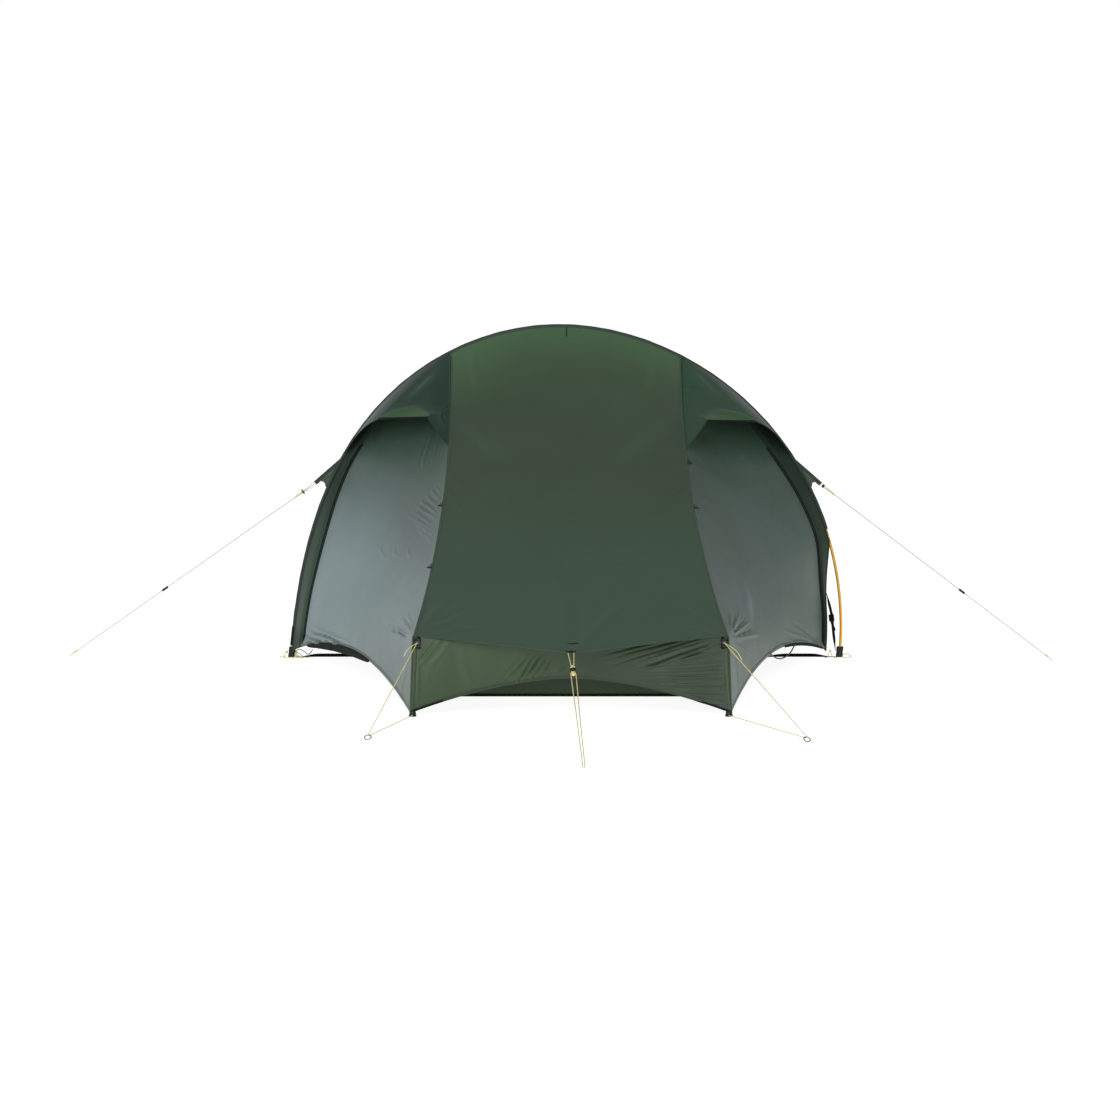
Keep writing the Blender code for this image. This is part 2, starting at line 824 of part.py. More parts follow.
innerEnd = floorHalfLength - innerEndSlope
innerDoorRows = [lerp(innerDoorEnd, innerDoorStart, i / 4) for i in range(5)]
halfRows = [floorHalfLength, lerp(floorHalfLength, innerEnd, 0.5), innerEnd]
halfRows.append(lerp(innerEnd, innerDoorEnd, 0.5))
halfRows += innerDoorRows
canopyRows = [-y for y in halfRows] + [0] + halfRows[::-1]
doorRows = range(canopyRows.index(-innerDoorEnd), canopyRows.index(-innerDoorRows[-1]))
opened = {(r, c) for r in doorRows for c in range(innerDoorSteps)}
opened |= {(r, canopySteps - 1 - c) for r in doorRows for c in range(innerDoorSteps)}
canopyGrid = [[canopy_point(y, i / canopySteps) for i in range(canopySteps + 1)] for y in canopyRows]
finish_mesh("inner_canopy", sheet(canopyGrid, skip=opened), innerCloth, smooth=True)

for word, side in sides.items():
    grid = []
    for r in range(doorRows[0], doorRows[-1] + 2):
        row = canopyGrid[r][:innerDoorSteps + 1]
        if side > 0:
            row = canopyGrid[r][::-1][:innerDoorSteps + 1]
        grid.append(row)
    grid = draw_in(grid, foldGap, foldGap, foldGap, foldGap)
    hinge = canopyGrid[doorRows[-1] + 1][0 if side < 0 else -1]
    finish_mesh(f"inner_door_{word}", sheet(grid), innerCloth, smooth=True, origin=hinge)

# The inner tent hangs from the arch by a short strap at the middle.
top = arch(stationCount / 2)
hangerTop = Vector((top.x, 0, top.z - sleeveInside - foldGap))
hangerFoot = Vector((top.x, 0, innerHeight + clothThickness / 2 + foldGap))
hangerLine = [hangerTop, lerp(hangerTop, hangerFoot, 0.5), hangerFoot]
hanger = strip(hangerLine, Vector((1, 0, 0)), hangerWidth, strapThickness)
finish_mesh("inner_hanger", hanger, webbing)

# Straps that tie the pole's feet to the floor
for word, side in sides.items():
    cup = arch_side(side, 0)
    start = Vector((cup.x - side * (cupHalfLength + 2 * gap), 0, strapLift))
    stop = Vector((side * (floorHalfWidthMiddle + gap), 0, strapLift))
    strap = strip([start, lerp(start, stop, 0.5), stop], Vector((0, 1, 0)), strapWidth, strapThickness)
    finish_mesh(f"foot_strap_{word}", strap, webbing)

# Tensioning strap and its buckle beside the bare end of the pole
edgeLow = arch_edge(1, -1, station_at_height(1, lockHeight))
edgeTop = arch_edge(1, -1, station_at_height(1, strapTopHeight))
strapTop = Vector((edgeTop.x + 0.0014, 0, strapTopHeight))
lockPlace = Vector((edgeLow.x + 0.0150, 0, lockHeight))
strapEnd = Vector((arch_side(1, 0).x - cupHalfLength - strapThickness / 2 - foldGap, 0, 0.020))
tension = strip([strapTop, lockPlace, strapEnd], Vector((0, 1, 0)), strapWidth - 0.002, strapThickness)
finish_mesh("tension_strap", tension, webbing)
slope = (strapEnd - lockPlace).normalized()
lean = math.atan2(-slope.x, -slope.z)
across = Vector((math.cos(lean), 0, -math.sin(lean)))
place = lockPlace + slope * (0.002 + lockSize[2] / 2)
place -= across * (strapThickness / 2 + 0.0005 + lockSize[0] / 2)
finish_mesh("ladder_lock", block(place, lockSize, Matrix.Rotation(lean, 3, "Y")), plastic)

# Guy tabs: a cloth triangle sewn to the sleeve on each side
tabs = {}
for word, side in sides.items():
    def tab_foot(station):
        place = station if side < 0 else stationCount - station
        tangent = arch_tangent(place)
        return arch(place) + Vector((-tangent.z, 0, tangent.x)) * (sleeveOutside + 0.0004)

    slope = math.radians(tabSlope)
    reach = Vector((side * math.cos(slope), 0, -math.sin(slope)))
    drop = Vector((-side * math.sin(slope), 0, -math.cos(slope)))
    edgeRun = stations_between(tabBottomStation, tabTopStation)
    edge = [tab_foot(s) for s in edgeRun]
    tip = edge[-1] + reach * tabReach
    tipLow = tip + drop * tabTipWidth
    # The tip is a straight tongue, and the cloth widens from there to the sleeve.
    tabHeight = tabTopStation - tabBottomStation
    tongue = [lerp(tipLow, tip, (s - tabBottomStation) / tabHeight) for s in edgeRun]
    tab = sheet([edge, [p - reach * tabTongueLength for p in tongue], tongue])
    finish_mesh(f"guy_tab_{word}", tab, ripstop)
    tabs[word] = lerp(tip, tipLow, 0.5) + reach * gap


# Cords

def smooth_route(points, count):
    """Evenly spread points on a smooth curve through the route's own points."""
    fine = []
    last = len(points) - 1
    for i in range(last):
        p0 = points[max(i - 1, 0)]
        p1, p2 = points[i], points[i + 1]
        p3 = points[min(i + 2, last)]
        for j in range(24):
            t = j / 24
            a = p1 * 2 + (p2 - p0) * t
            b = (p0 * 2 - p1 * 5 + p2 * 4 - p3) * t * t
            c = (p1 * 3 - p0 - p2 * 3 + p3) * t * t * t
            fine.append((a + b + c) / 2)
    fine.append(points[-1].copy())
    total = [0.0]
    for a, b in zip(fine, fine[1:]):
        total.append(total[-1] + (b - a).length)
    out = []
    j = 0
    for n in range(count + 1):
        target = total[-1] * n / count
        while j < len(fine) - 2 and total[j + 1] < target:
            j += 1
        out.append(lerp(fine[j], fine[j + 1], (target - total[j]) / (total[j + 1] - total[j])))
    return out


def cord(name, points, diameter, mat):
    curve = bpy.data.curves.new(name, "CURVE")
    curve.dimensions = "3D"
    curve.bevel_depth = diameter / 2
    curve.bevel_resolution = 2
    curve.use_fill_caps = True
    spline = curve.splines.new("POLY")
    spline.points.add(len(points) - 1)
    for target, p in zip(spline.points, points):
        target.co = (p.x, p.y, p.z, 1)
    spline.use_smooth = True
    curve.materials.append(mat)
    made = bpy.data.objects.new(name, curve)
    bpy.context.collection.objects.link(made)


cordCloth = material("pale_yellow_cord", paleYellow, 0.7)
steel = material("polished_steel", silver, 0.25, 1.0)


def run(a, b, count):
    return [lerp(a, b, i / count) for i in range(count)]


# Side guys: a straight line from the tab to a small loop for a peg, through a sliding adjuster
guyEnds = {
    "left": Vector((-guySpreadLeft, 0, guyEndHeight)),
    "right": Vector((guySpreadRight, -guyForwardRight, guyEndHeight)),
}
for word, side in sides.items():
    start = tabs[word]
    stop = guyEnds[word]
    direction = (stop - start).normalized()
    level = Vector((0, 1, 0))
    level = (level - direction * level.dot(direction)).normalized()
    neck = stop - direction * pegLoopLength
    loop = []
    for i in range(1, 15):
        turn = math.pi * i / 15
        along = pegLoopLength * (1 - math.cos(2 * turn)) / 2
        loop.append(neck + direction * along + level * (pegLoopWidth * math.sin(2 * turn) * math.sin(turn)))
    cord(f"side_guy_{word}", [*run(start, neck, 14), neck, *loop], guyDiameter, cordCloth)

    slide = lerp(start, stop, sliderPlace)
    up = direction.cross(level).normalized()
    rings = []
    for along, wide in ((-0.5, 0.75), (-0.36, 1), (0.36, 1), (0.5, 0.75)):
        place = slide + direction * (along * sliderSize[0])
        outer = []
        bore = []
        for a, b in round_profile(1, 12):
            outer.append(place + (level * (a * sliderSize[1]) + up * (b * sliderSize[2])) * (wide / 2))
            bore.append(place + (level * a + up * b) * sliderBoreRadius)
        rings.append((outer, bore))
    finish_mesh(f"guy_slider_{word}", sweep(rings), plastic, smooth=True, origin=slide)

# End guys: one cord from the roof's edge to the ground and back
for word, end in ends.items():
    lip = roof_point(end, 0, 1)
    peg = Vector((endGuySideways, end * endGuyReach, guyDiameter / 2 + foldGap))
    direction = (peg - lip).normalized()
    legs = []
    for side in sides.values():
        start = roof_point(end, side * eyeletOffset / endHalfWidth, 1) + direction * (2 * gap)
        pinch = lip + direction * endGuyNeck
        widths = ((pinch, endGuyClose), (lerp(pinch, peg, 0.06), eyeletOffset), (peg, endGuyClose))
        route = [start, *(p + Vector((side * width, 0, 0)) for p, width in widths)]
        legs.append(smooth_route(route, 15))
    turn = []
    for i in range(1, 5):
        angle = math.pi * i / 5
        out = direction * math.sin(angle) - Vector((math.cos(angle), 0, 0))
        turn.append(peg + Vector((out.x, out.y, 0)) * endGuyClose)
    cord(f"end_guy_{word}", [*legs[0], *turn, *legs[1][::-1]], guyDiameter, cordCloth)

# Corner guys: one cord from the top of each corner, through a ring and back to the corner's foot
for endWord, end in ends.items():
    for word, side in sides.items():
        x, y = cornerRingPlaces[word]
        pull = Vector((x - side * endHalfWidth, end * (y - endLength), 0)).normalized()
        beside = Vector((-pull.y, pull.x, 0))
        tilt = Vector((pull.x * math.cos(ringTilt), pull.y * math.cos(ringTilt), -math.sin(ringTilt)))
        rise = beside.cross(tilt)
        hub = Vector((x, end * y, ringWire + gap + ringRadius * math.sin(ringTilt)))
        rings = []
        for a, b in round_profile(1, 14):
            out = tilt * a + beside * b
            centre = hub + out * ringRadius
            wire = round_profile(ringWire, 5)
            rings.append([centre + out * c + rise * d for c, d in wire])
        finish_mesh(f"corner_ring_{endWord}_{word}", loop_sweep(rings), steel, smooth=True)

        bar = hub - tilt * ringRadius
        wrap = ringWire + cornerGuyDiameter / 2 + gap
        place, facing = fitting_place(side, end)
        high = place + facing * (topBlock[1] / 2 + gap + cornerGuyDiameter / 3)
        foot = corner(side, end)
        low = Vector((
            foot.x - side * strutInset,
            foot.y + end * (footRadius - strutInset + gap + cornerGuyDiameter / 3),
            footHeight * 0.5,
        ))
        turn = []
        for i in range(7):
            angle = math.pi / 2 - math.pi * i / 6
            turn.append(bar + (pull * math.cos(angle) + Vector((0, 0, 1)) * math.sin(angle)) * wrap)
        points = [*run(high, turn[0], 9), *turn, *run(low, turn[-1], 9)[::-1]]
        cord(f"corner_guy_{endWord}_{word}", points, cornerGuyDiameter, cordCloth)
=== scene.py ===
import math

import bmesh
import bpy
import numpy as np
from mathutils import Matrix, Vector, noise


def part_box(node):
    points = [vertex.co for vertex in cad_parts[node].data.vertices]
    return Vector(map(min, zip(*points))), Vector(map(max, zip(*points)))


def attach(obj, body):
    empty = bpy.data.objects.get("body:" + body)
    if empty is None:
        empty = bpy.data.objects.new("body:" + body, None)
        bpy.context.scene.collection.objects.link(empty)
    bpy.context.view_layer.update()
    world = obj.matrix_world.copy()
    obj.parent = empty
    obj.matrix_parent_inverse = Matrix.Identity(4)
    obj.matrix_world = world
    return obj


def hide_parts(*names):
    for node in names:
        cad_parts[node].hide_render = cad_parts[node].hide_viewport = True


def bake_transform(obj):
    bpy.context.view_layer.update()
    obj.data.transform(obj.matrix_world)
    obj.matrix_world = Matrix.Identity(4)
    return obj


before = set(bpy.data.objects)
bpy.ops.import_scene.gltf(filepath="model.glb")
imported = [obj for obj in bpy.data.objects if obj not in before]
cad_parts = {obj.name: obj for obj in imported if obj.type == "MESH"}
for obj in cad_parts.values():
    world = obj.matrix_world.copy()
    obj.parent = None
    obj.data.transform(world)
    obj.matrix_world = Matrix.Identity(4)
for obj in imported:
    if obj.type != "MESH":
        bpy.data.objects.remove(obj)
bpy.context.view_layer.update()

tentBody = "tent"
sides = {"left": -1, "right": 1}
ends = {"front": -1, "rear": 1}
tentCorners = [(f"{endWord}_{word}", end, side) for endWord, end in ends.items()
               for word, side in sides.items()]


# Gamma-coded hex to linear RGBA.
def linear(hexColour):
    values = [int(hexColour[i:i + 2], 16) / 255 for i in (1, 3, 5)]
    return [v / 12.92 if v <= 0.04045 else ((v + 0.055) / 1.055) ** 2.4 for v in values] + [1]


def lerp(a, b, share):
    return a + (b - a) * share


# Even steps from a to b, both included.
def steps(a, b, count):
    return [lerp(a, b, i / count) for i in range(count + 1)]


def smooth(low, high, value):
    share = np.clip((value - low) / (high - low), 0, 1)
    return share * share * (3 - 2 * share)


def newObject(name, data):
    made = bpy.data.objects.new(name, data)
    bpy.context.collection.objects.link(made)
    return made


# Camera, studio and light

view = {"place": (-0.10, -9.34, 1.15), "down": 5.152, "lens": 95.69, "sensor": 36, "shift": 0.0232,
        "pixels": 1120}
camera = newObject("view", bpy.data.cameras.new("view"))
camera.data.lens = view["lens"]
camera.data.sensor_width = view["sensor"]
camera.data.shift_x = view["shift"]
camera.location = view["place"]
camera.rotation_euler = (math.radians(90 - view["down"]), 0, 0)
bpy.context.scene.camera = camera
bpy.context.scene.view_settings.view_transform = "Standard"


# Adds a node, sets its options and its inputs, and links the inputs that are given a socket.
def addNode(tree, kind, inputs=None, **settings):
    node = tree.nodes.new(kind)
    for key, value in settings.items():
        setattr(node, key, value)
    for key, value in (inputs or {}).items():
        if isinstance(value, bpy.types.NodeSocket):
            tree.links.new(value, node.inputs[key])
        else:
            node.inputs[key].default_value = value
    return node


def rangeNode(tree, value, *limits, **settings):
    inputs = {0: value, **dict(enumerate(limits, 1))}
    return addNode(tree, "ShaderNodeMapRange", inputs, **settings).outputs[0]


def mixNode(tree, share, a, b):
    return addNode(tree, "ShaderNodeMix", {0: share, 2: a, 3: b}).outputs[0]


def colourMix(tree, share, a, b):
    return addNode(tree, "ShaderNodeMix", {0: share, 6: a, 7: b}, data_type="RGBA").outputs[2]


def mathNode(tree, kind, a, b):
    return addNode(tree, "ShaderNodeMath", {0: a, 1: b}, operation=kind).outputs[0]


def noiseNode(tree, place, scale, detail, **more):
    inputs = {"Vector": place, "Scale": scale, "Detail": detail, **more}
    return addNode(tree, "ShaderNodeTexNoise", inputs).outputs["Fac"]


def bumpNode(tree, strength, distance, height, **more):
    inputs = {"Strength": strength, "Distance": distance, "Height": height, **more}
    return addNode(tree, "ShaderNodeBump", inputs).outputs[0]


def newMaterial(name):
    made = bpy.data.materials.new(name)
    made.use_nodes = True
    made.node_tree.nodes.clear()
    return made, made.node_tree


def addShader(tree, inputs):
    shader = addNode(tree, "ShaderNodeBsdfPrincipled", inputs)
    addNode(tree, "ShaderNodeOutputMaterial", {0: shader.outputs[0]})


studio = {"floor": "#b4b4b2", "floorGlow": 0.91, "floorHalf": 60, "leftBehind": 1.0, "rightBehind": 0.34,
          "zenith": 0.30, "front": 0.42}

world = bpy.data.worlds.new("studio")
bpy.context.scene.world = world
world.use_nodes = True
tree = world.node_tree
tree.nodes.clear()
direction = addNode(tree, "ShaderNodeTexCoord").outputs["Generated"]
parts = addNode(tree, "ShaderNodeSeparateXYZ", {0: direction}).outputs
behind = rangeNode(tree, parts[0], -0.6, 0.6, studio["leftBehind"], studio["rightBehind"])
ahead = rangeNode(tree, parts[1], -0.2, 0.5, 0.0, 1.0, interpolation_type="SMOOTHSTEP")
level = rangeNode(tree, parts[2], 0.2, 0.75, 0.0, 1.0, interpolation_type="SMOOTHSTEP")
walls = mixNode(tree, ahead, studio["front"], behind)
strength = mixNode(tree, level, walls, studio["zenith"])
# Seen past the tent, the room is plain white
seen = addNode(tree, "ShaderNodeLightPath").outputs["Is Camera Ray"]
strength = mixNode(tree, seen, strength, 1.0)
background = addNode(tree, "ShaderNodeBackground", {0: (1, 1, 1, 1), 1: strength})
addNode(tree, "ShaderNodeOutputWorld", {0: background.outputs[0]})

# Matt white studio floor, painted: no gloss
floorPaint, tree = newMaterial("matt_white_floor_paint")
addShader(tree, {"Base Color": linear(studio["floor"]), "Roughness": 0.9, "Emission Color": (1, 1, 1, 1),
                 "Emission Strength": studio["floorGlow"]})
floor = newObject("studio_floor", bpy.data.meshes.new("studio_floor"))
half = studio["floorHalf"]
corners = [(-half, -half, 0), (half, -half, 0), (half, half, 0), (-half, half, 0)]
floor.data.from_pydata(corners, [], [(0, 1, 2, 3)])
floor.data.materials.append(floorPaint)

lamps = {
    "key": {"place": (-1.9, -7.6, 3.9), "size": (6.0, 5.0), "power": 290},
    "fill": {"place": (3.5, -7.5, 3.2), "size": (6.0, 5.0), "power": 30},
}
for name, lamp in lamps.items():
    holder = newObject(name, bpy.data.lights.new(name, "AREA"))
    holder.data.shape = "RECTANGLE"
    holder.data.size, holder.data.size_y = lamp["size"]
    holder.data.energy = lamp["power"]
    holder.location = lamp["place"]
    aim = Vector((0, 0, 0.5)) - Vector(lamp["place"])
    holder.rotation_euler = aim.to_track_quat("-Z", "Y").to_euler()
print("camera and studio are set")


# Finishes: each is a material and its slot. Patterns on cloth follow a piece's own UV map,
# which is in metres.

# Coated ripstop nylon: a plain weave with a thicker thread every few millimetres, which gives
# a faint square grid, and a smooth coating, which gives a soft silky gloss.
def ripstop(name, dark, middle, light, gridHex, rough, specular, slotName="forest_ripstop", coat=0.0):
    cell, crumple = 0.006, 0.35
    made, tree = newMaterial(name)
    uv = addNode(tree, "ShaderNodeUVMap", uv_map="cloth").outputs[0]
    place = addNode(tree, "ShaderNodeTexCoord").outputs["Object"]
    # tone picks the colour between dark, middle and light; on the tent's panels it carries painted light and
    # shade
    tone = addNode(tree, "ShaderNodeAttribute", attribute_name="tone").outputs["Fac"]
    grid = addNode(tree, "ShaderNodeTexBrick", {
        "Vector": uv, "Scale": 1.0, "Mortar Size": cell * 0.09, "Mortar Smooth": 0.4,
        "Brick Width": cell, "Row Height": cell,
    }, offset=0, squash=1).outputs["Fac"]
    cloud = noiseNode(tree, place, 5.5, 3.0)
    weave = noiseNode(tree, uv, 900.0, 1.0)
    folds = noiseNode(tree, place, 26.0, 4.0, Roughness=0.45, Distortion=0.4)
    colour = colourMix(tree, rangeNode(tree, tone, 0.0, 0.5), linear(dark), linear(middle))
    colour = colourMix(tree, rangeNode(tree, tone, 0.5, 1.0), colour, linear(light))
    colour = colourMix(tree, rangeNode(tree, cloud, 0.3, 0.7, 0.0, 0.16), colour, linear(gridHex))
    colour = colourMix(tree, mathNode(tree, "MULTIPLY", grid, 0.22), colour, linear(gridHex))
    bump = bumpNode(tree, 0.55, 0.004, mathNode(tree, "MULTIPLY", folds, crumple))
    bump = bumpNode(tree, 0.25, 0.0002, mathNode(tree, "ADD", grid, weave), Normal=bump)
    addShader(tree, {
        "Base Color": colour, "Roughness": rangeNode(tree, cloud, 0.3, 0.7, rough - 0.04, rough + 0.05),
        "Normal": bump, "Specular IOR Level": specular, "Coat Weight": coat, "Coat Roughness": 0.3,
        "Sheen Weight": 0.08, "Sheen Roughness": 0.4,
    })
    return made, slotName


# A plain finish with a fine grain and slightly uneven gloss, as moulded or drawn parts have.
def solidFinish(name, slotName, hexColour, rough, metal=0.0, specular=0.5, grain=400.0, spread=0.08):
    made, tree = newMaterial(name)
    place = addNode(tree, "ShaderNodeTexCoord").outputs["Object"]
    cloud = noiseNode(tree, place, 60.0, 3.0)
    base = linear(hexColour)
    worn = [min(1, v * 1.35 + 0.004) for v in base[:3]] + [1]
    addShader(tree, {
        "Base Color": colourMix(tree, cloud, base, worn), "Metallic": metal,
        "Roughness": rangeNode(tree, cloud, 0.3, 0.7, max(0.02, rough - spread), rough + spread),
        "Normal": bumpNode(tree, 0.4, 0.00005, noiseNode(tree, place, grain, 2.0)),
        "Specular IOR Level": specular,
    })
    return made, slotName


# Webbing or braided cord: slanted ribs along the piece, from its own UV map in metres.
def ribbed(name, slotName, hexColour, other, pitch, slant, rough=0.8):
    made, tree = newMaterial(name)
    uv = addNode(tree, "ShaderNodeUVMap", uv_map="cloth").outputs[0]
    turned = addNode(tree, "ShaderNodeMapping", {"Vector": uv, "Rotation": (0, 0, math.radians(slant))})
    wave = addNode(tree, "ShaderNodeTexWave", {"Vector": turned.outputs[0], "Scale": 1 / pitch / 3.14,
                   "Distortion": 0.3, "Detail": 1.0}, bands_direction="Y").outputs["Fac"]
    addShader(tree, {
        "Base Color": colourMix(tree, wave, linear(hexColour), linear(other)), "Roughness": rough,
        "Normal": bumpNode(tree, 0.7, pitch * 0.2, wave), "Specular IOR Level": 0.2,
    })
    return made, slotName


roofCloth = ripstop("coated_ripstop_roof", "#3b5243", "#364936", "#476a45", "#4a5946", 0.44, 0.38)
wallCloth = ripstop("coated_ripstop_end_wall", "#21331e", "#32462c", "#3d5235", "#41523d", 0.42, 0.38)
# Side cloth: its light colour is a painted sheen and its dark one is painted shade under the hoods
sideCloth = ripstop("silvered_ripstop_side", "#1c3c1b", "#4b5d58", "#6f8486", "#728385", 0.46, 0.28,
                    "silvered_ripstop", coat=0.03)
bandCloth = ripstop("coated_ripstop_band", "#19261d", "#27372b", "#3a4d40", "#303f34", 0.55, 0.12)
hoodCloth = ripstop("coated_ripstop_hood", "#213a33", "#355140", "#375d33", "#3a4e3a", 0.52, 0.13)
sleeveCloth = ripstop("coated_ripstop_sleeve", "#28332c", "#303d34", "#38463c", "#48554c", 0.5, 0.3)
innerCloth = ripstop("breathable_inner_nylon", "#8a8b78", "#989784", "#a5a48f", "#b5b49f", 0.75, 0.3,
                     "pale_inner_cloth")
groundCloth = ripstop("coated_groundsheet_nylon", "#1f3518", "#253d1d", "#2c4525", "#334a29", 0.5, 0.4,
                      "dark_groundsheet")
hemTape = ribbed("bound_hem_tape", "black_webbing", "#0c0f0c", "#161b16", 0.0012, 0, 0.9)
webbing = ribbed("woven_nylon_webbing", "black_webbing", "#0b0c0d", "#17191a", 0.0016, 35)
guyWebbing = ribbed("grey_nylon_webbing", "black_webbing", "#2e3431", "#474e4a", 0.0016, 35)
braid = ribbed("braided_guy_cord", "pale_yellow_cord", "#cfc27c", "#ebe2b0", 0.0016, 38)
paleBraid = ribbed("pale_braided_guy_cord", "pale_yellow_cord", "#b4b19e", "#d6d3c2", 0.0016, 38)
thread = solidFinish("polyester_thread", "forest_ripstop", "#2a332b", 0.6, grain=900.0)
zipNylon = solidFinish("nylon_coil_zip", "black_plastic", "#121413", 0.35, grain=900.0)
anodised = solidFinish("gold_anodised_aluminium_tube", "gold_anodised_aluminium", "#dca53c", 0.36, metal=0.85,
                       spread=0.04)
plastic = solidFinish("moulded_black_nylon", "black_plastic", "#0c0d0f", 0.42, specular=0.35, spread=0.06)
rubber = solidFinish("black_silicone_tube", "elastic_cord", "#0e0e10", 0.55)
steel = solidFinish("polished_stainless_steel", "polished_steel", "#8b8f94", 0.24, metal=1.0, spread=0.05)
# The groundsheet's hem is tape, and loose loops of tube count as cords
groundTape = (hemTape[0], groundCloth[1])
loopRubber = (rubber[0], braid[1])
print("materials are made")


# The arch and the cloth surfaces, from the same rule as the solid model

archSize = {"height": 1.0415, "halfWidth": 0.8650, "shoulder": 0.016, "lean": -0.020, "sway": 0.016,
            "swayPower": 0.75, "centre": -0.00075, "base": 0.0050, "stations": 48}
sleeveSize = {"halfWidth": 0.0066, "outside": 0.0075, "inside": 0.0085, "bore": 0.0053,
              "endHeight": 0.405, "startHeight": 0.0362}
flySize = {"seamStation": 18, "doorTop": 11, "strutTop": 2, "endLength": 1.28, "endHalfWidth": 0.430,
           "footSpread": 0.006, "footReach": 0.045, "strutHeight": 0.215, "cornerHeight": 0.010,
           "overhang": 0.080, "overhangDrop": 0.038, "roofSag": 0.060, "seamSag": 0.035,
           "seamPinch": 0.030, "sideSag": 0.030, "doorSeamShare": 0.33,
           "band": {-1: (0.030, 0.080, 11.5, 4.0), 1: (0.018, 0.062, 1.5, 5.5)},
           "hemRise": 0.072, "hemSkew": 0.75, "hemClearance": 0.012, "endHemRise": 0.086,
           "endHemInset": 0.020, "openInset": 0.044, "openStart": 0.1}
clothGap = 0.0008


def archCurve(angle):
    a = archSize
    x = a["centre"] - a["halfWidth"] * math.cos(angle)
    x -= a["shoulder"] * math.sin(2 * angle) ** 2 * math.copysign(1, math.cos(angle))
    height = max(0.0, math.sin(angle))
    x += a["sway"] * math.sin(math.pi * height ** a["swayPower"]) + a["lean"] * height ** 2
    return Vector((x, 0, a["base"] + (a["height"] - a["base"]) * height))


# count + 1 points at even distances along a line.
def evenly(line, count):
    travelled = [0.0]
    for a, b in zip(line, line[1:]):
        travelled.append(travelled[-1] + (b - a).length)
    made, j = [], 0
    for n in range(count + 1):
        target = travelled[-1] * n / count
        while j < len(line) - 2 and travelled[j + 1] < target:
            j += 1
        share = (target - travelled[j]) / (travelled[j + 1] - travelled[j])
        made.append(lerp(line[j], line[j + 1], share))
    return made


stationCount = archSize["stations"]
fineSteps, archSamples = 4, 4000
fineArch = [archCurve(math.pi * i / archSamples) for i in range(archSamples + 1)]
stations = evenly(fineArch, stationCount * fineSteps)


def arch(station):
    fine = station * fineSteps
    whole = min(max(int(math.floor(fine)), 0), stationCount * fineSteps - 1)
    return lerp(stations[whole], stations[whole + 1], fine - whole)


def archTangent(station):
    return (arch(station + 0.5) - arch(station - 0.5)).normalized()


def archSide(side, station):
    return arch(station if side < 0 else stationCount - station)


def stationAt(side, height):
    station = 0.0
    while archSide(side, station).z < height:
        station += 0.01
    return station


stationLength = (arch(1) - arch(0)).length
sleeveStart = stationAt(-1, sleeveSize["startHeight"])
sleeveEnd = stationCount - stationAt(1, sleeveSize["endHeight"])
edgeOffset = sleeveSize["halfWidth"] + clothGap


def archEdge(side, end, station):
    openStation = stationCount - sleeveEnd
    point = archSide(side, station)
    offset = edgeOffset
    if side > 0 and station < openStation:
        start = flySize["openStart"]
        share = max(0.0, 1 - station / openStation - start) / (1 - start)
        point.x -= flySize["openInset"] * math.sin(math.pi / 2 * min(1, share * 1.7))
        offset = lerp(edgeOffset, clothGap, min(1, share * 4))
    return point + Vector((0, end * offset, 0))


def roofPoint(end, across, along):
    f = flySize
    station = stationCount / 2 + across * (stationCount / 2 - f["seamStation"])
    top = arch(station) + Vector((0, end * edgeOffset, 0))
    pull = max(0.0, 1 - abs(across)) ** 1.1
    low = Vector((f["endHalfWidth"] * across, end * (f["endLength"] + f["overhang"] * pull),
                  f["strutHeight"] - f["overhangDrop"] * pull))
    point = lerp(top, low, along)
    bow = 4 * along * (1 - along)
    point.x -= f["seamPinch"] * bow * across
    point.z -= bow * lerp(f["roofSag"], f["seamSag"], across * across)
    return point


def seam(side, end, along):
    return roofPoint(end, side, along)


def corner(side, end):
    f = flySize
    return Vector((side * (f["endHalfWidth"] + f["footSpread"]), end * (f["endLength"] + f["footReach"]),
                   f["cornerHeight"]))


def seamByStation(side, end, station):
    f = flySize
    if station >= f["doorTop"]:
        share = (f["seamStation"] - station) / (f["seamStation"] - f["doorTop"])
        return seam(side, end, f["doorSeamShare"] * share)
    if station >= f["strutTop"]:
        share = (f["doorTop"] - station) / (f["doorTop"] - f["strutTop"])
        return seam(side, end, lerp(f["doorSeamShare"], 1, share))
    return lerp(seam(side, end, 1), corner(side, end), 1 - station / f["strutTop"])


def foldLine(side, end, station):
    top = seam(side, end, flySize["doorSeamShare"])
    return lerp(top, corner(side, end), (flySize["doorTop"] - station) / flySize["doorTop"])


def outwards(side, end):
    return Vector((side * 0.84, end * 0.29, 0.46))


def hemStation(across):
    f = flySize
    height = f["hemClearance"] * (1 - across)
    height += f["hemRise"] * max(0.0, math.sin(math.pi * across ** f["hemSkew"]))
    return height / stationLength


def sidePoint(side, end, station, across):
    f = flySize
    cut = hemStation(min(max(across, 0), 1))
    level = station if station > f["doorTop"] else cut + (f["doorTop"] - cut) * station / f["doorTop"]
    a = archEdge(side, end, level)
    b = seamByStation(side, end, level)
    bow = f["sideSag"] * 4 * across * (1 - across) * min(1, (f["seamStation"] - level) / 6)
    return lerp(a, b, across) - outwards(side, end) * bow


def endWallPoint(end, across, down):
    f = flySize
    reach = f["endLength"] + f["overhang"] * max(0.0, 1 - abs(across)) ** 1.1
    top = roofPoint(end, across, (f["endLength"] - 0.0005) / reach)
    top.z -= 0.001 + clothGap
    y = f["endLength"] + f["footReach"] * abs(across) ** 3 - f["endHemInset"] * (1 - across * across) ** 2
    low = Vector(((f["endHalfWidth"] + f["footSpread"] * down) * across, end * y,
                  f["cornerHeight"] + f["endHemRise"] * (1 - abs(across) ** 1.7)))
    return lerp(top, low, down)


# Folds are placed where the photograph shows them and then lie on the cloth itself

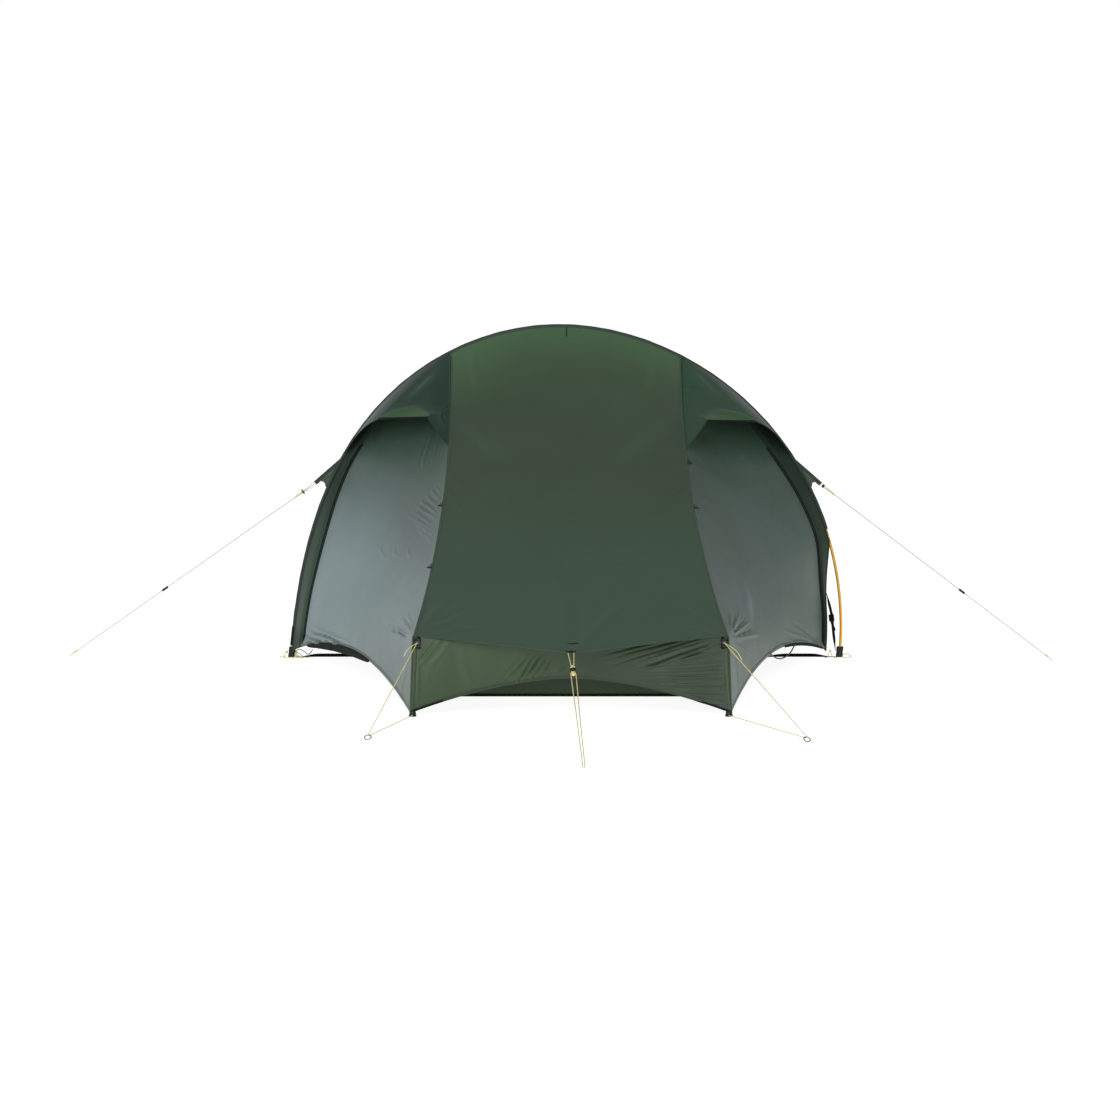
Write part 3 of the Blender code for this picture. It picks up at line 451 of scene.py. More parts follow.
focal = view["lens"] / view["sensor"] * view["pixels"]
middlePixel = view["pixels"] / 2
axisPixel = (middlePixel - view["shift"] * view["pixels"], middlePixel)


# Where points show in the frame, in pixels.
def toPixels(points):
    away = points - np.array(view["place"])
    tilt = math.radians(view["down"])
    ahead = away[..., 1] * math.cos(tilt) - away[..., 2] * math.sin(tilt)
    up = away[..., 1] * math.sin(tilt) + away[..., 2] * math.cos(tilt)
    return np.stack([axisPixel[0] + focal * away[..., 0] / ahead, axisPixel[1] - focal * up / ahead], -1)


# The point of a line that shows nearest to a place in the frame.
def nearestTo(line, spot):
    return Vector(line[np.argmin(((toPixels(line) - spot) ** 2).sum(1))])


# The height of the cloth's folds at each point. A fold is x0, y0, x1, y1 in pixels of the
# frame, its half width and its height in millimetres, and optionally its bend in pixels.
def foldField(points, folds):
    pixels = toPixels(points)
    flatPixels = pixels.reshape(-1, 2)
    flatPoints = points.reshape(-1, 3)
    field = np.zeros(points.shape[:-1])

    def onCloth(x, y):
        return flatPoints[np.argmin(((flatPixels - (x, y)) ** 2).sum(1))]

    for x0, y0, x1, y1, wide, high, *bend in folds:
        bend = bend[0] if bend else 0.0
        run = np.array([x1 - x0, y1 - y0], float)
        beside = np.array([-run[1], run[0]]) / max(np.linalg.norm(run), 1e-6)
        line = []
        for share in (0, 0.25, 0.5, 0.75, 1):
            spot = np.array([x0, y0]) + run * share + beside * bend * 4 * share * (1 - share)
            line.append(onCloth(*spot))
        nearest = np.full(field.shape, 1e9)
        along = np.zeros(field.shape)
        for i, (a, b) in enumerate(zip(line, line[1:])):
            ab = b - a
            t = np.clip(((points - a) @ ab) / max(ab @ ab, 1e-9), 0, 1)
            gapHere = np.linalg.norm(points - a - t[..., None] * ab, axis=-1)
            closer = gapHere < nearest
            nearest = np.where(closer, gapHere, nearest)
            along = np.where(closer, (i + t) / 4, along)
        u = nearest / (wide / 1000)
        shape = (1 - 0.9 * u * u) * np.exp(-u * u)
        field += high / 1000 * shape * np.sin(np.pi * np.clip(along, 0.02, 0.98)) ** 0.6
    return field


# A slow uneven swell, so that no cloth is perfectly even.
def roll(points, scale, seed):
    flat = points.reshape(-1, 3)
    shift = Vector((seed * 3.7, seed * 1.3, seed * 2.1))
    made = [noise.noise(Vector(p) * scale + shift) for p in flat]
    return np.array(made).reshape(points.shape[:-1])


def gridNormals(grid, hint):
    across = np.gradient(grid, axis=1)
    down = np.gradient(grid, axis=0)
    normal = np.cross(down, across)
    length = np.linalg.norm(normal, axis=-1, keepdims=True)
    normal = np.where(length > 1e-12, normal / np.maximum(length, 1e-12), np.array(hint, float))
    return normal


# The cloth's normals, all turned to the side that hint points to.
def facingNormals(grid, hint):
    normal = gridNormals(grid, hint)
    return -normal if (normal @ np.array(hint)).mean() < 0 else normal


def asGrid(rows):
    return np.array([[tuple(p) for p in row] for row in rows])


# The same cloth on the other half of the tent.
def mirrored(grid):
    return grid[:, ::-1] * np.array([1, -1, 1])


# A smooth mesh with a place in its UV map, in metres, for each vertex.
def meshOf(verts, faces, uvs, sharpAngle, evenFaces=False):
    mesh = bpy.data.meshes.new("piece")
    mesh.from_pydata([tuple(v) for v in verts], [], faces)
    if evenFaces:
        bm = bmesh.new()
        bm.from_mesh(mesh)
        bmesh.ops.recalc_face_normals(bm, faces=bm.faces[:])
        bm.to_mesh(mesh)
        bm.free()
    layer = mesh.uv_layers.new(name="cloth")
    corners = np.empty(len(mesh.loops), int)
    mesh.loops.foreach_get("vertex_index", corners)
    layer.data.foreach_set("uv", np.array(uvs)[corners].ravel())
    mesh.shade_smooth()
    mesh.set_sharp_from_angle(angle=math.radians(sharpAngle))
    return mesh


def setTone(mesh, values):
    mesh.attributes.new("tone", "FLOAT", "POINT").data.foreach_set("value", values)


# A thin closed cloth of two skins round a grid of points, less the cells that aren't kept.
def clothMesh(grid, thickness, kept, tone):
    rows, columns = grid.shape[:2]
    count = rows * columns
    normal = gridNormals(grid, (0, 0, 1))
    skins = [grid + normal * thickness / 2, grid - normal * thickness / 2]
    kept = np.ones((rows - 1, columns - 1), bool) if kept is None else kept
    index = np.arange(count).reshape(rows, columns)
    loops = np.stack([index[:-1, :-1], index[1:, :-1], index[1:, 1:], index[:-1, 1:]], -1)
    padded = np.zeros((rows + 1, columns + 1), bool)
    padded[1:-1, 1:-1] = kept
    walls = []
    for r, q in zip(*np.nonzero(kept)):
        beyond = (padded[r + 1, q], padded[r + 2, q + 1], padded[r + 1, q + 2], padded[r, q + 1])
        for i in range(4):
            if not beyond[i]:
                p, n = loops[r, q, i], loops[r, q, (i + 1) % 4]
                walls.append((n, p, p + count, n + count))
    faces = np.concatenate([loops[kept], loops[kept][:, ::-1] + count, np.array(walls)])
    used = np.unique(faces)
    renumber = np.full(2 * count, -1)
    renumber[used] = np.arange(len(used))
    places = np.concatenate([skin.reshape(-1, 3) for skin in skins])[used]
    u = np.cumsum(np.linalg.norm(np.diff(grid, axis=1, prepend=grid[:, :1]), axis=-1), axis=1)
    v = np.cumsum(np.linalg.norm(np.diff(grid, axis=0, prepend=grid[:1]), axis=-1), axis=0)
    uvs = np.stack([u - u[:, columns // 2:columns // 2 + 1], v], -1).reshape(-1, 2)
    mesh = meshOf(places.tolist(), renumber[faces].tolist(), np.concatenate([uvs, uvs])[used], 50)
    tones = np.broadcast_to(tone, (rows, columns)).ravel()
    setTone(mesh, np.concatenate([tones, tones])[used].astype(float))
    return mesh


# A narrow stretch at each door's fold line, where its cloth would bend from the tent to its own body.
# The stretch is not used to bend anything; its keys only mark the doors' bodies.
bendSize = {"station": 5.5, "half": 0.03}
doorBends = {}
for word, side in sides.items():
    middle = foldLine(side, -1, bendSize["station"])
    run = (foldLine(side, -1, 0) - foldLine(side, -1, flySize["doorTop"])).normalized()
    towards = archEdge(side, -1, bendSize["station"]) - middle
    towards = (towards - run * towards.dot(run)).normalized() * bendSize["half"]
    doorBends[f"door_{word}"] = (middle - towards, middle + towards)


def putOn(piece, body):
    if body in doorBends:
        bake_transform(piece)
    else:
        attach(piece, body)


# Puts a finished mesh in the scene, on its body; a door's pieces are only baked in place.
def addPiece(name, mesh, finish, body=tentBody, node=None):
    mesh.name = name
    mesh.materials.clear()
    mesh.materials.append(finish[0])
    made = newObject(name, mesh)
    putOn(made, body)
    if node:
        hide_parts(node)
    return made


# A cloth that fills less than the least share of its longest row times its longest column gets a width
# narrower than it measures, worked out from its area, which nothing uses. A cloth that fills less than
# the least share of its longest row times its longest column is stated narrower than it measures, with
# a width worked out from its area. Only the two guy tabs are so: they measure 0.101 by 0.110 m.
cutShare = {"least": 0.31, "stated": 0.5}


# Sews a cloth and works out its flat cut: its longest row and column, folds included, and its area; nothing
# uses the cut.
def sew(name, grid, finish, node, body=tentBody, thickness=0.0006, keep=None,
        tone=0.5):
    piece = addPiece(name, clothMesh(grid, thickness, keep, tone), finish, body, node)
    a, b, c, d = grid[:-1, :-1], grid[1:, :-1], grid[1:, 1:], grid[:-1, 1:]
    area = np.linalg.norm(np.cross(b - a, c - a), axis=-1) + np.linalg.norm(np.cross(c - a, d - a), axis=-1)
    area = float((area[keep] if keep is not None else area).sum() / 2)
    width = float(np.linalg.norm(np.diff(grid, axis=1), axis=-1).sum(1).max())
    length = float(np.linalg.norm(np.diff(grid, axis=0), axis=-1).sum(0).max())
    if area < cutShare["least"] * width * length:
        width = area / cutShare["stated"] / length
    area = min(area, width * length)


# Cords first, on the routes of the solid model

cordSize = {"guy": 0.0026, "corner": 0.0024, "spread": {-1: 1.567, 1: 1.518}, "forward": 0.120,
            "endHeight": 0.004, "pegLoop": (0.020, 0.009), "slider": (0.022, 0.010, 0.008),
            "sliderPlace": 0.610, "endReach": 2.199, "sideways": 0.021, "neck": 0.140,
            "close": 0.0026, "legs": ((0.05, 0.0066), (0.5, 0.0042)), "eyelet": 0.008,
            "rings": {-1: (-0.528, 1.745), 1: (0.600, 1.780)}, "ring": 0.0085, "wire": 0.0013, "tilt": 0.66}
tabSize = {"top": 10.25, "bottom": 8.65, "reach": 0.108, "tip": 0.014, "notch": 0.018, "slope": 41}
smallGap = 0.0003


# A smooth line through the given points, as count + 1 points at even distances.
def smoothRoute(points, count):
    points = [Vector(p) for p in points]
    last = len(points) - 1
    fine = []
    for i in range(last):
        p0, p1, p2, p3 = points[max(i - 1, 0)], points[i], points[i + 1], points[min(i + 2, last)]
        for j in range(24):
            t = j / 24
            a = p1 * 2 + (p2 - p0) * t
            b = (p0 * 2 - p1 * 5 + p2 * 4 - p3) * t * t
            c = (p1 * 3 - p0 - p2 * 3 + p3) * t * t * t
            fine.append((a + b + c) / 2)
    return evenly([*fine, points[-1]], count)


def circle(radius, count=20):
    return [(radius * math.cos(2 * math.pi * i / count), radius * math.sin(2 * math.pi * i / count))
            for i in range(count)]


# The faces between rings of points. Each ring closes on itself.
def ringFaces(ringCount, count):
    faces = []
    for i in range(ringCount - 1):
        for k in range(count):
            n = (k + 1) % count
            faces.append((i * count + k, i * count + n, (i + 1) * count + n, (i + 1) * count + k))
    return faces


# A round tube along a path. radius is one number or one per point.
def tubeMesh(points, radius, sidesRound=10):
    count = len(points)
    radii = radius if hasattr(radius, "__len__") else [radius] * count
    tangents = [(points[min(i + 1, count - 1)] - points[max(i - 1, 0)]).normalized() for i in range(count)]
    first = tangents[0].orthogonal().normalized()
    verts, uvs = [], []
    travelled = 0.0
    for i, tangent in enumerate(tangents):
        if i:
            travelled += (points[i] - points[i - 1]).length
        first = (first - tangent * first.dot(tangent)).normalized()
        second = tangent.cross(first)
        for k in range(sidesRound):
            turn = 2 * math.pi * k / sidesRound
            verts.append(points[i] + (first * math.cos(turn) + second * math.sin(turn)) * radii[i])
            uvs.append((radii[0] * turn, travelled))
    caps = [tuple(range(sidesRound))[::-1], tuple(range((count - 1) * sidesRound, count * sidesRound))]
    return meshOf(verts, ringFaces(count, sidesRound) + caps, uvs, 50)


def addCord(name, points, diameter, node=None, finish=braid):
    piece = addPiece(name, tubeMesh(points, diameter / 2), finish, node=node)


# The guy tab's edge along the sleeve and its three outer corners.
def tabShape(side):
    def foot(station):
        place = station if side < 0 else stationCount - station
        tangent = archTangent(place)
        return arch(place) + Vector((-tangent.z, 0, tangent.x)) * (sleeveSize["outside"] + 0.0004)

    slope = math.radians(tabSize["slope"])
    reach = Vector((side * math.cos(slope), 0, -math.sin(slope)))
    drop = Vector((-side * math.sin(slope), 0, -math.cos(slope)))
    edge = [foot(s) for s in (tabSize["bottom"], 9, 10, tabSize["top"])]
    tip = edge[-1] + reach * tabSize["reach"]
    tipLow = tip + drop * tabSize["tip"]
    return edge, tip, tipLow, tipLow - reach * tabSize["notch"], reach


tabs, sideGuys = {}, {}
for word, side in sides.items():
    tabs[word] = tabShape(side)
    edge, tip, tipLow, notch, reach = tabs[word]
    start = lerp(tip, tipLow, 0.5) + reach * smallGap
    forward = 0 if side < 0 else -cordSize["forward"]
    stop = Vector((side * cordSize["spread"][side], forward, cordSize["endHeight"]))
    heading = (stop - start).normalized()
    level = Vector((0, 1, 0))
    level = (level - heading * level.dot(heading)).normalized()
    loopLength, loopWidth = cordSize["pegLoop"]
    neck = stop - heading * loopLength
    loop = []
    for i in range(1, 30):
        turn = math.pi * i / 30
        ahead = loopLength * (1 - math.cos(2 * turn)) / 2
        loop.append(neck + heading * ahead + level * (loopWidth * math.sin(2 * turn) * math.sin(turn)))
    route = [*steps(start, neck, 28)[:-1], neck, *loop]
    addCord(f"side_guy_cord_{word}", route, cordSize["guy"], f"side_guy_{word}", paleBraid)
    sideGuys[word] = (start, stop, heading, level)


# Where a middle guy's leg leaves the roof's edge.
def eyeletPoint(end, side, along):
    return roofPoint(end, side * cordSize["eyelet"] / flySize["endHalfWidth"], along)


endGuys = {}
for word, end in ends.items():
    lip = roofPoint(end, 0, 1)
    peg = Vector((cordSize["sideways"], end * cordSize["endReach"], cordSize["guy"] / 2 + clothGap))
    heading = (peg - lip).normalized()
    pinch = lip + heading * cordSize["neck"]
    close = cordSize["close"]
    widths = [(pinch, close), (peg, close)]
    widths[1:1] = [(lerp(pinch, peg, share), wide) for share, wide in cordSize["legs"]]
    legs = []
    for side in (-1, 1):
        start = eyeletPoint(end, side, 1) + heading * (2 * smallGap)
        legs.append(smoothRoute([start, *(p + Vector((side * w, 0, 0)) for p, w in widths)], 30))
    turned = []
    for i in range(1, 5):
        angle = math.pi * i / 5
        out = heading * math.sin(angle) - Vector((math.cos(angle), 0, 0))
        turned.append(peg + Vector((out.x, out.y, 0)) * close)
    addCord(f"end_guy_cord_{word}", [*legs[0], *turned, *legs[1][::-1]], cordSize["guy"],
            f"end_guy_{word}")
    endGuys[word] = (lip, heading)

cornerGuyLines = {}
lean = math.atan2(flySize["footReach"], flySize["strutHeight"] - flySize["cornerHeight"])
for place, end, side in tentCorners:
    x, y = cordSize["rings"][side]
    pull = Vector((x - side * flySize["endHalfWidth"], end * (y - flySize["endLength"]), 0)).normalized()
    beside = Vector((-pull.y, pull.x, 0))
    tilt = Vector((pull.x * math.cos(cordSize["tilt"]), pull.y * math.cos(cordSize["tilt"]),
                   -math.sin(cordSize["tilt"])))
    hub = Vector((x, end * y, cordSize["wire"] + smallGap + cordSize["ring"] * math.sin(cordSize["tilt"])))
    bar = hub - tilt * cordSize["ring"]
    wrap = cordSize["wire"] + cordSize["corner"] / 2 + smallGap
    low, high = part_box(f"corner_fitting_{place}")
    facing = Vector((0, end * math.cos(lean), math.sin(lean)))
    fitting = lerp(Vector(low), Vector(high), 0.5)
    high = fitting + facing * (0.003 + smallGap + cordSize["corner"] / 3)
    foot = corner(side, end)
    low = Vector((foot.x - side * 0.006, foot.y + end * (0.005 + smallGap + cordSize["corner"] / 3), 0.004))
    turned = []
    for i in range(9):
        angle = math.pi / 2 - math.pi * i / 8
        turned.append(bar + (pull * math.cos(angle) + Vector((0, 0, 1)) * math.sin(angle)) * wrap)
    route = [*steps(high, turned[0], 18)[:-1], *turned, *steps(low, turned[-1], 18)[-2::-1]]
    addCord(f"corner_guy_cord_{place}", route, cordSize["corner"], f"corner_guy_{place}")
    cornerGuyLines[place] = (hub, tilt, beside, fitting, facing)
print("cords are laid")


# Fly sheet: roof

roofFolds = [
    (571, 650, 556, 560, 26, 3.0), (572, 650, 588, 560, 26, -3.0), (571, 650, 520, 600, 22, 2.5),
    (573, 650, 628, 600, 22, 2.5), (415, 634, 452, 596, 16, 3.0), (417, 634, 470, 612, 14, 3.0),
    (418, 636, 488, 626, 12, 2.4), (414, 634, 436, 586, 14, -2.5), (732, 634, 700, 590, 16, 3.0),
    (730, 635, 678, 606, 14, 3.0), (728, 637, 660, 622, 12, 2.4), (470, 344, 478, 400, 18, 2.0),
    (655, 344, 646, 400, 18, 2.0), (452, 420, 520, 470, 40, 3.0), (672, 420, 610, 470, 40, 3.0),
    (444, 470, 474, 500, 14, 1.8), (442, 484, 470, 520, 12, 1.8), (688, 480, 660, 510, 14, 1.8),
]
roofRows, roofColumns = 150, 112

plainRoof = asGrid([[roofPoint(-1, -1 + 2 * c / roofColumns, r / roofRows) for c in range(roofColumns + 1)]
                    for r in range(roofRows + 1)])
roofNormal = facingNormals(plainRoof, (0, 0, 1))
roofNormals = {"front": roofNormal, "rear": mirrored(roofNormal)}
inside = np.linspace(0, 1, roofRows + 1)[:, None]
awayFromEdges = np.minimum(smooth(0, 0.03, inside), smooth(0, 0.02, 1 - inside))
awayFromEdges = awayFromEdges * smooth(0, 0.03, 1 - np.abs(np.linspace(-1, 1, roofColumns + 1)))[None, :]
roofRelief = {"swell": 0.0022, "swellScale": 4.0, "ripple": 0.0010, "rippleScale": 11.0, "gathers": 190,
              "gatherDepth": 0.0012, "gatherReach": 0.035}
# Painted shade and highlight on folds: tone rises by this much per metre that the cloth stands out
paintedFoldShade = 28


# Small gathers where the roof is sewn into the sleeve.
def pleats(points, count, depth, fade):
    x = points[..., 0]
    return depth * np.sin(x * count) * np.sin(x * count * 0.37 + 1.3) * fade


r = roofRelief
roofs = {}
for word, end in ends.items():
    seed = 1 if end < 0 else 5
    lift = foldField(plainRoof, roofFolds) + r["swell"] * roll(plainRoof, r["swellScale"], seed)
    gathers = pleats(plainRoof, r["gathers"], r["gatherDepth"], np.exp(-inside / r["gatherReach"]))
    lift += r["ripple"] * roll(plainRoof, r["rippleScale"], seed + 1) + gathers
    grid = plainRoof + roofNormal * (lift * awayFromEdges)[..., None]
    # Painted light: the roof is painted lightest next to the arch and changes to its hem colour lower down;
    # folds add painted shade and highlight.
    tone = 0.5 + 0.5 * np.exp(-(inside / 0.10) ** 1.3) - 0.5 * smooth(0.35, 0.8, inside) + paintedFoldShade * lift
    if end > 0:
        grid, tone = mirrored(grid), tone[:, ::-1]
    roofs[word] = grid
    sew(f"roof_{word}", grid, roofCloth, f"fly_roof_{word}",
        tone=np.clip(tone, 0, 1))
print("roof is sewn")


# Fly sheet: sides. One surface from the sleeve to the roof seam, then cut into its panels.

sideFolds = {
    -1: [(435, 486, 441, 493, 4.5, 1.8), (431, 490, 439, 499, 4.5, 2.4), (426, 496, 438, 507, 4.5, 3.0),
         (420, 501, 437, 513.5, 4.5, 3.2), (415, 506, 436, 519, 4.5, 3.2), (411, 511, 435, 526, 4.5, 3.2),
         (409, 516, 434, 530.7, 4.5, 3.0), (413, 522, 433, 535.5, 4.5, 2.6), (418, 529, 432, 541, 4.5, 2.0),
         (431, 436, 422, 466, 7, 5.0), (437, 444, 431, 464, 5, 3.0), (428, 440, 418, 462, 5, -3.0),
         (381, 545, 386, 557, 6, 1.8, 3), (395, 547, 400, 557, 6, 1.8, 3), (409, 547, 411, 557, 6, 1.6, 2),
         (412, 636, 387, 626, 4, 3.6), (413, 634, 399, 618, 3.5, 2.6), (413, 633, 408, 612, 4, 2.4),
         (411, 640, 388, 646, 5, 2.2), (411, 637, 387, 629, 3.2, -4.2), (413, 633, 404, 615, 3.2, -3.6),
         (411, 641, 397, 654, 4, -2.0),
         (305, 631, 340, 645, 4, 5.2), (303, 635, 334, 647, 4, -5.2), (304, 638, 330, 648, 4, 5.0),
         (310, 626, 348, 642, 4.5, 4.4), (307, 629, 343, 644, 3.5, -4.4), (303, 642, 322, 649, 4, 4.0),
         (413, 640, 398, 700, 12, 2.0), (409, 712, 398, 690, 8, 1.8)],
    1: [(731, 634, 730, 611, 4, 4.4), (732, 634, 740, 610, 4, 4.6), (733, 636, 749, 622, 4, 4.4),
        (734, 639, 758, 634, 5, 3.4), (729, 634, 723, 614, 5, 3.4), (732, 633, 735, 612, 3.5, -4.0),
        (733, 635, 745, 617, 3.5, -4.0), (734, 637, 754, 628, 3.5, -3.6), (747, 590, 748, 618, 36, 4.0),
        (734, 643, 748, 652, 4, 2.8), (733, 645, 741, 664, 4, -2.6),
        (695, 505, 706, 500, 4.5, 2.0), (696, 509, 708, 511, 4.5, 2.4), (697, 514, 709, 520, 4.5, 2.0),
        (684, 446, 692, 468, 6, 3.4), (690, 442, 702, 464, 6, 2.8), (820, 648, 786, 640, 6, 3.0),
        (820, 645, 784, 630, 6, 2.6), (819, 641, 792, 622, 6, -2.4), (733, 716, 742, 696, 5, 3.4),
        (733, 716, 738, 690, 5, -3.4), (734, 712, 748, 690, 5, 2.4),
        (734, 642, 740, 690, 12, 2.0)],
}
doorRows, ventRows, bandColumns, leafColumns = 140, 40, 12, 150
zipShare = 0.14
sideRelief = {"easing": 255, "swell": 0.0015, "swellScale": 4.5, "ripple": 0.0008, "rippleScale": 12.0,
              "tuck": 0.009, "tuckOnLeaf": 0.045, "tuckOnBand": 0.012, "width": 0.62}
topStation = flySize["seamStation"] - 0.015


def bandShare(side, end, station):
    width = (seamByStation(side, end, station) - archEdge(side, end, station)).length
    least, most, start, stop = flySize["band"][side]
    return min(0.4, float(lerp(least, most, smooth(start, stop, station))) / width)


def sideGrid(side):
    levels = [flySize["doorTop"] * (i / doorRows) for i in range(doorRows)]
    levels += [lerp(flySize["doorTop"], topStation, i / ventRows) for i in range(ventRows + 1)]
    rows = []
    for station in levels:
        cut = bandShare(side, -1, min(station, flySize["doorTop"]))
        shares = [cut * i / bandColumns for i in range(bandColumns)]
        shares += [lerp(cut, 1, i / leafColumns) for i in range(leafColumns + 1)]
        rows.append([sidePoint(side, -1, station, share) for share in shares])
    return asGrid(rows)


# Rounds off creases inside a cloth and leaves its borders in place.
def eased(grid, calm, rounds):
    for _ in range(rounds):
        moved = grid.copy()
        moved[1:-1] = (grid[:-2] + 2 * grid[1:-1] + grid[2:]) / 4
        grid = grid + (moved - grid) * calm[..., None]
    return grid


s = sideRelief
sideCut = {}
for word, side in sides.items():
    plain = sideGrid(side)
    rowShare = np.linspace(0, 1, plain.shape[0])[:, None]
    columnShare = np.concatenate([np.linspace(0, zipShare, bandColumns, endpoint=False),
                                  np.linspace(zipShare, 1, leafColumns + 1)])[None, :]
    calm = smooth(0, 0.3, columnShare) * smooth(0, 0.2, 1 - columnShare) + 0 * rowShare
    plain = eased(plain, calm, s["easing"])
    normal = facingNormals(plain, outwards(side, -1))
    edges = smooth(0, 0.012, rowShare) * smooth(0, 0.02, 1 - rowShare)
    edges = edges * smooth(0, 0.03, columnShare) * smooth(0, 0.015, 1 - columnShare)
    height = plain[..., 2]
    # Painted light and shade: the sides are dark under the hood and a painted sheen makes them lighter lower
    # down; they are painted darker towards the roof seam, most of all near the ground.
    tone = smooth(0.85, 0.30, height) ** 1.15 - 0.80 * smooth(0.34, 0.0, height) * columnShare ** 1.5
    tone = tone * (1 - 0.42 * smooth(0.35, 0.85, columnShare) * smooth(0.15, 0.45, height))
    if side > 0:
        # The right side is painted darker, most near its zip and low down, with a painted highlight at spot.
        spot = ((toPixels(plain) - (745, 602)) ** 2).sum(-1)
        tone = tone * (0.53 - 0.17 * smooth(0.7, zipShare, columnShare))
        tone = tone * (1 - 0.4 * smooth(0.5, 0.15, height))
        tone = tone + 0.16 * np.exp(-spot / 420)
    # The band takes the panel's painted light, dimmed to painted shade towards its foot.
    bandLight, bandLow, bandHigh = (0.9, 0.03, 0.12) if side < 0 else (1.5, 0.16, 0.42)
    bandPaintedShade = np.clip(bandLight * tone * smooth(bandLow, bandHigh, height), 0, 1)
    creases = foldField(plain, sideFolds[side])
    # Folds add painted shade and highlight to the panels' painted light.
    sidePaintedLight = np.clip(tone + 1.6 * paintedFoldShade * creases * edges, 0, 1)
    for endWord, end in ends.items():
        seed = 11 + side + end * 3
        lift = creases + s["swell"] * roll(plain, s["swellScale"], seed)
        lift = (lift + s["ripple"] * roll(plain, s["rippleScale"], seed + 1)) * edges
        outer = normal * np.array([1, -end, 1])
        if end > 0:
            grid = (plain + normal * lift[..., None]) * np.array([1, -1, 1])
            sideCut[word, endWord] = (grid, outer)
            sew(f"side_rear_{word}", grid[:, ::-1], sideCloth,
                f"fly_side_rear_{word}", tone=sidePaintedLight[:, ::-1])
            continue
        # The cloth is drawn in along the zip
        fromZip = np.abs(columnShare - zipShare) * s["width"]
        tuck = np.exp(-(fromZip / np.where(columnShare > zipShare, s["tuckOnLeaf"], s["tuckOnBand"])) ** 2)
        lift = lift - s["tuck"] * tuck * smooth(1.0, 0.9, rowShare) * smooth(0.0, 0.04, rowShare)
        grid = plain + normal * lift[..., None]
        sideCut[word, endWord] = (grid, outer)
        leafCut = (slice(0, doorRows + 1), slice(bandColumns, None))
        bandCut = (slice(None), slice(0, bandColumns + 1))
        ventCut = (slice(doorRows, None), slice(bandColumns, None))
        sew(f"door_leaf_{word}", grid[leafCut], sideCloth, f"door_{word}",
            body=f"door_{word}", tone=sidePaintedLight[leafCut])
        sew(f"door_band_{word}", grid[bandCut], bandCloth, f"door_frame_{word}",
            tone=bandPaintedShade[bandCut])
        sew(f"vent_panel_{word}", grid[ventCut], sideCloth,
            f"door_frame_{word}", tone=sidePaintedLight[ventCut])
print("sides are sewn")


# Vent hoods, each with a brim stiffened by a wire

hoodSize = {"bottom": 10.6, "standOff": 0.070, "knee": 0.05, "outer": 0.57, "edge": 0.86, "tip": 0.97,
            "lift": 0.0022, "cushion": 0.006, "brim": 0.13, "peak": 0.03, "shoulder": 0.34, "arcHeight": 0.19,
            "arcLift": 0.007, "rows": 84, "folds": 2.0, "swell": 0.0012, "swellScale": 9.0}


def hoodOut(side):
    return (side * 0.63, -0.435, 0.64)


def hoodPoint(side, down, across):
    h = hoodSize
    knee = float(lerp(h["shoulder"], h["knee"], smooth(0.25, 0.97, down)))
    if across <= knee:
        rise = across / knee
    elif across <= h["outer"]:
        rise = 1.0
    else:
        rise = (1 - across) / (1 - h["outer"])
    level = down * lerp(1, h["edge"], rise)
    a = seam(side, -1, flySize["doorSeamShare"] * h["tip"] * level)
    b = archEdge(side, -1, lerp(flySize["seamStation"], h["bottom"], level))
    cushion = h["cushion"] * math.sin(math.pi * across) ** 0.5 * min(1, down * 3)
    stand = h["lift"] + cushion + h["standOff"] * math.sin(math.pi / 2 * rise) * down ** 1.5
    return lerp(a, b, across) + Vector(hoodOut(side)) * stand


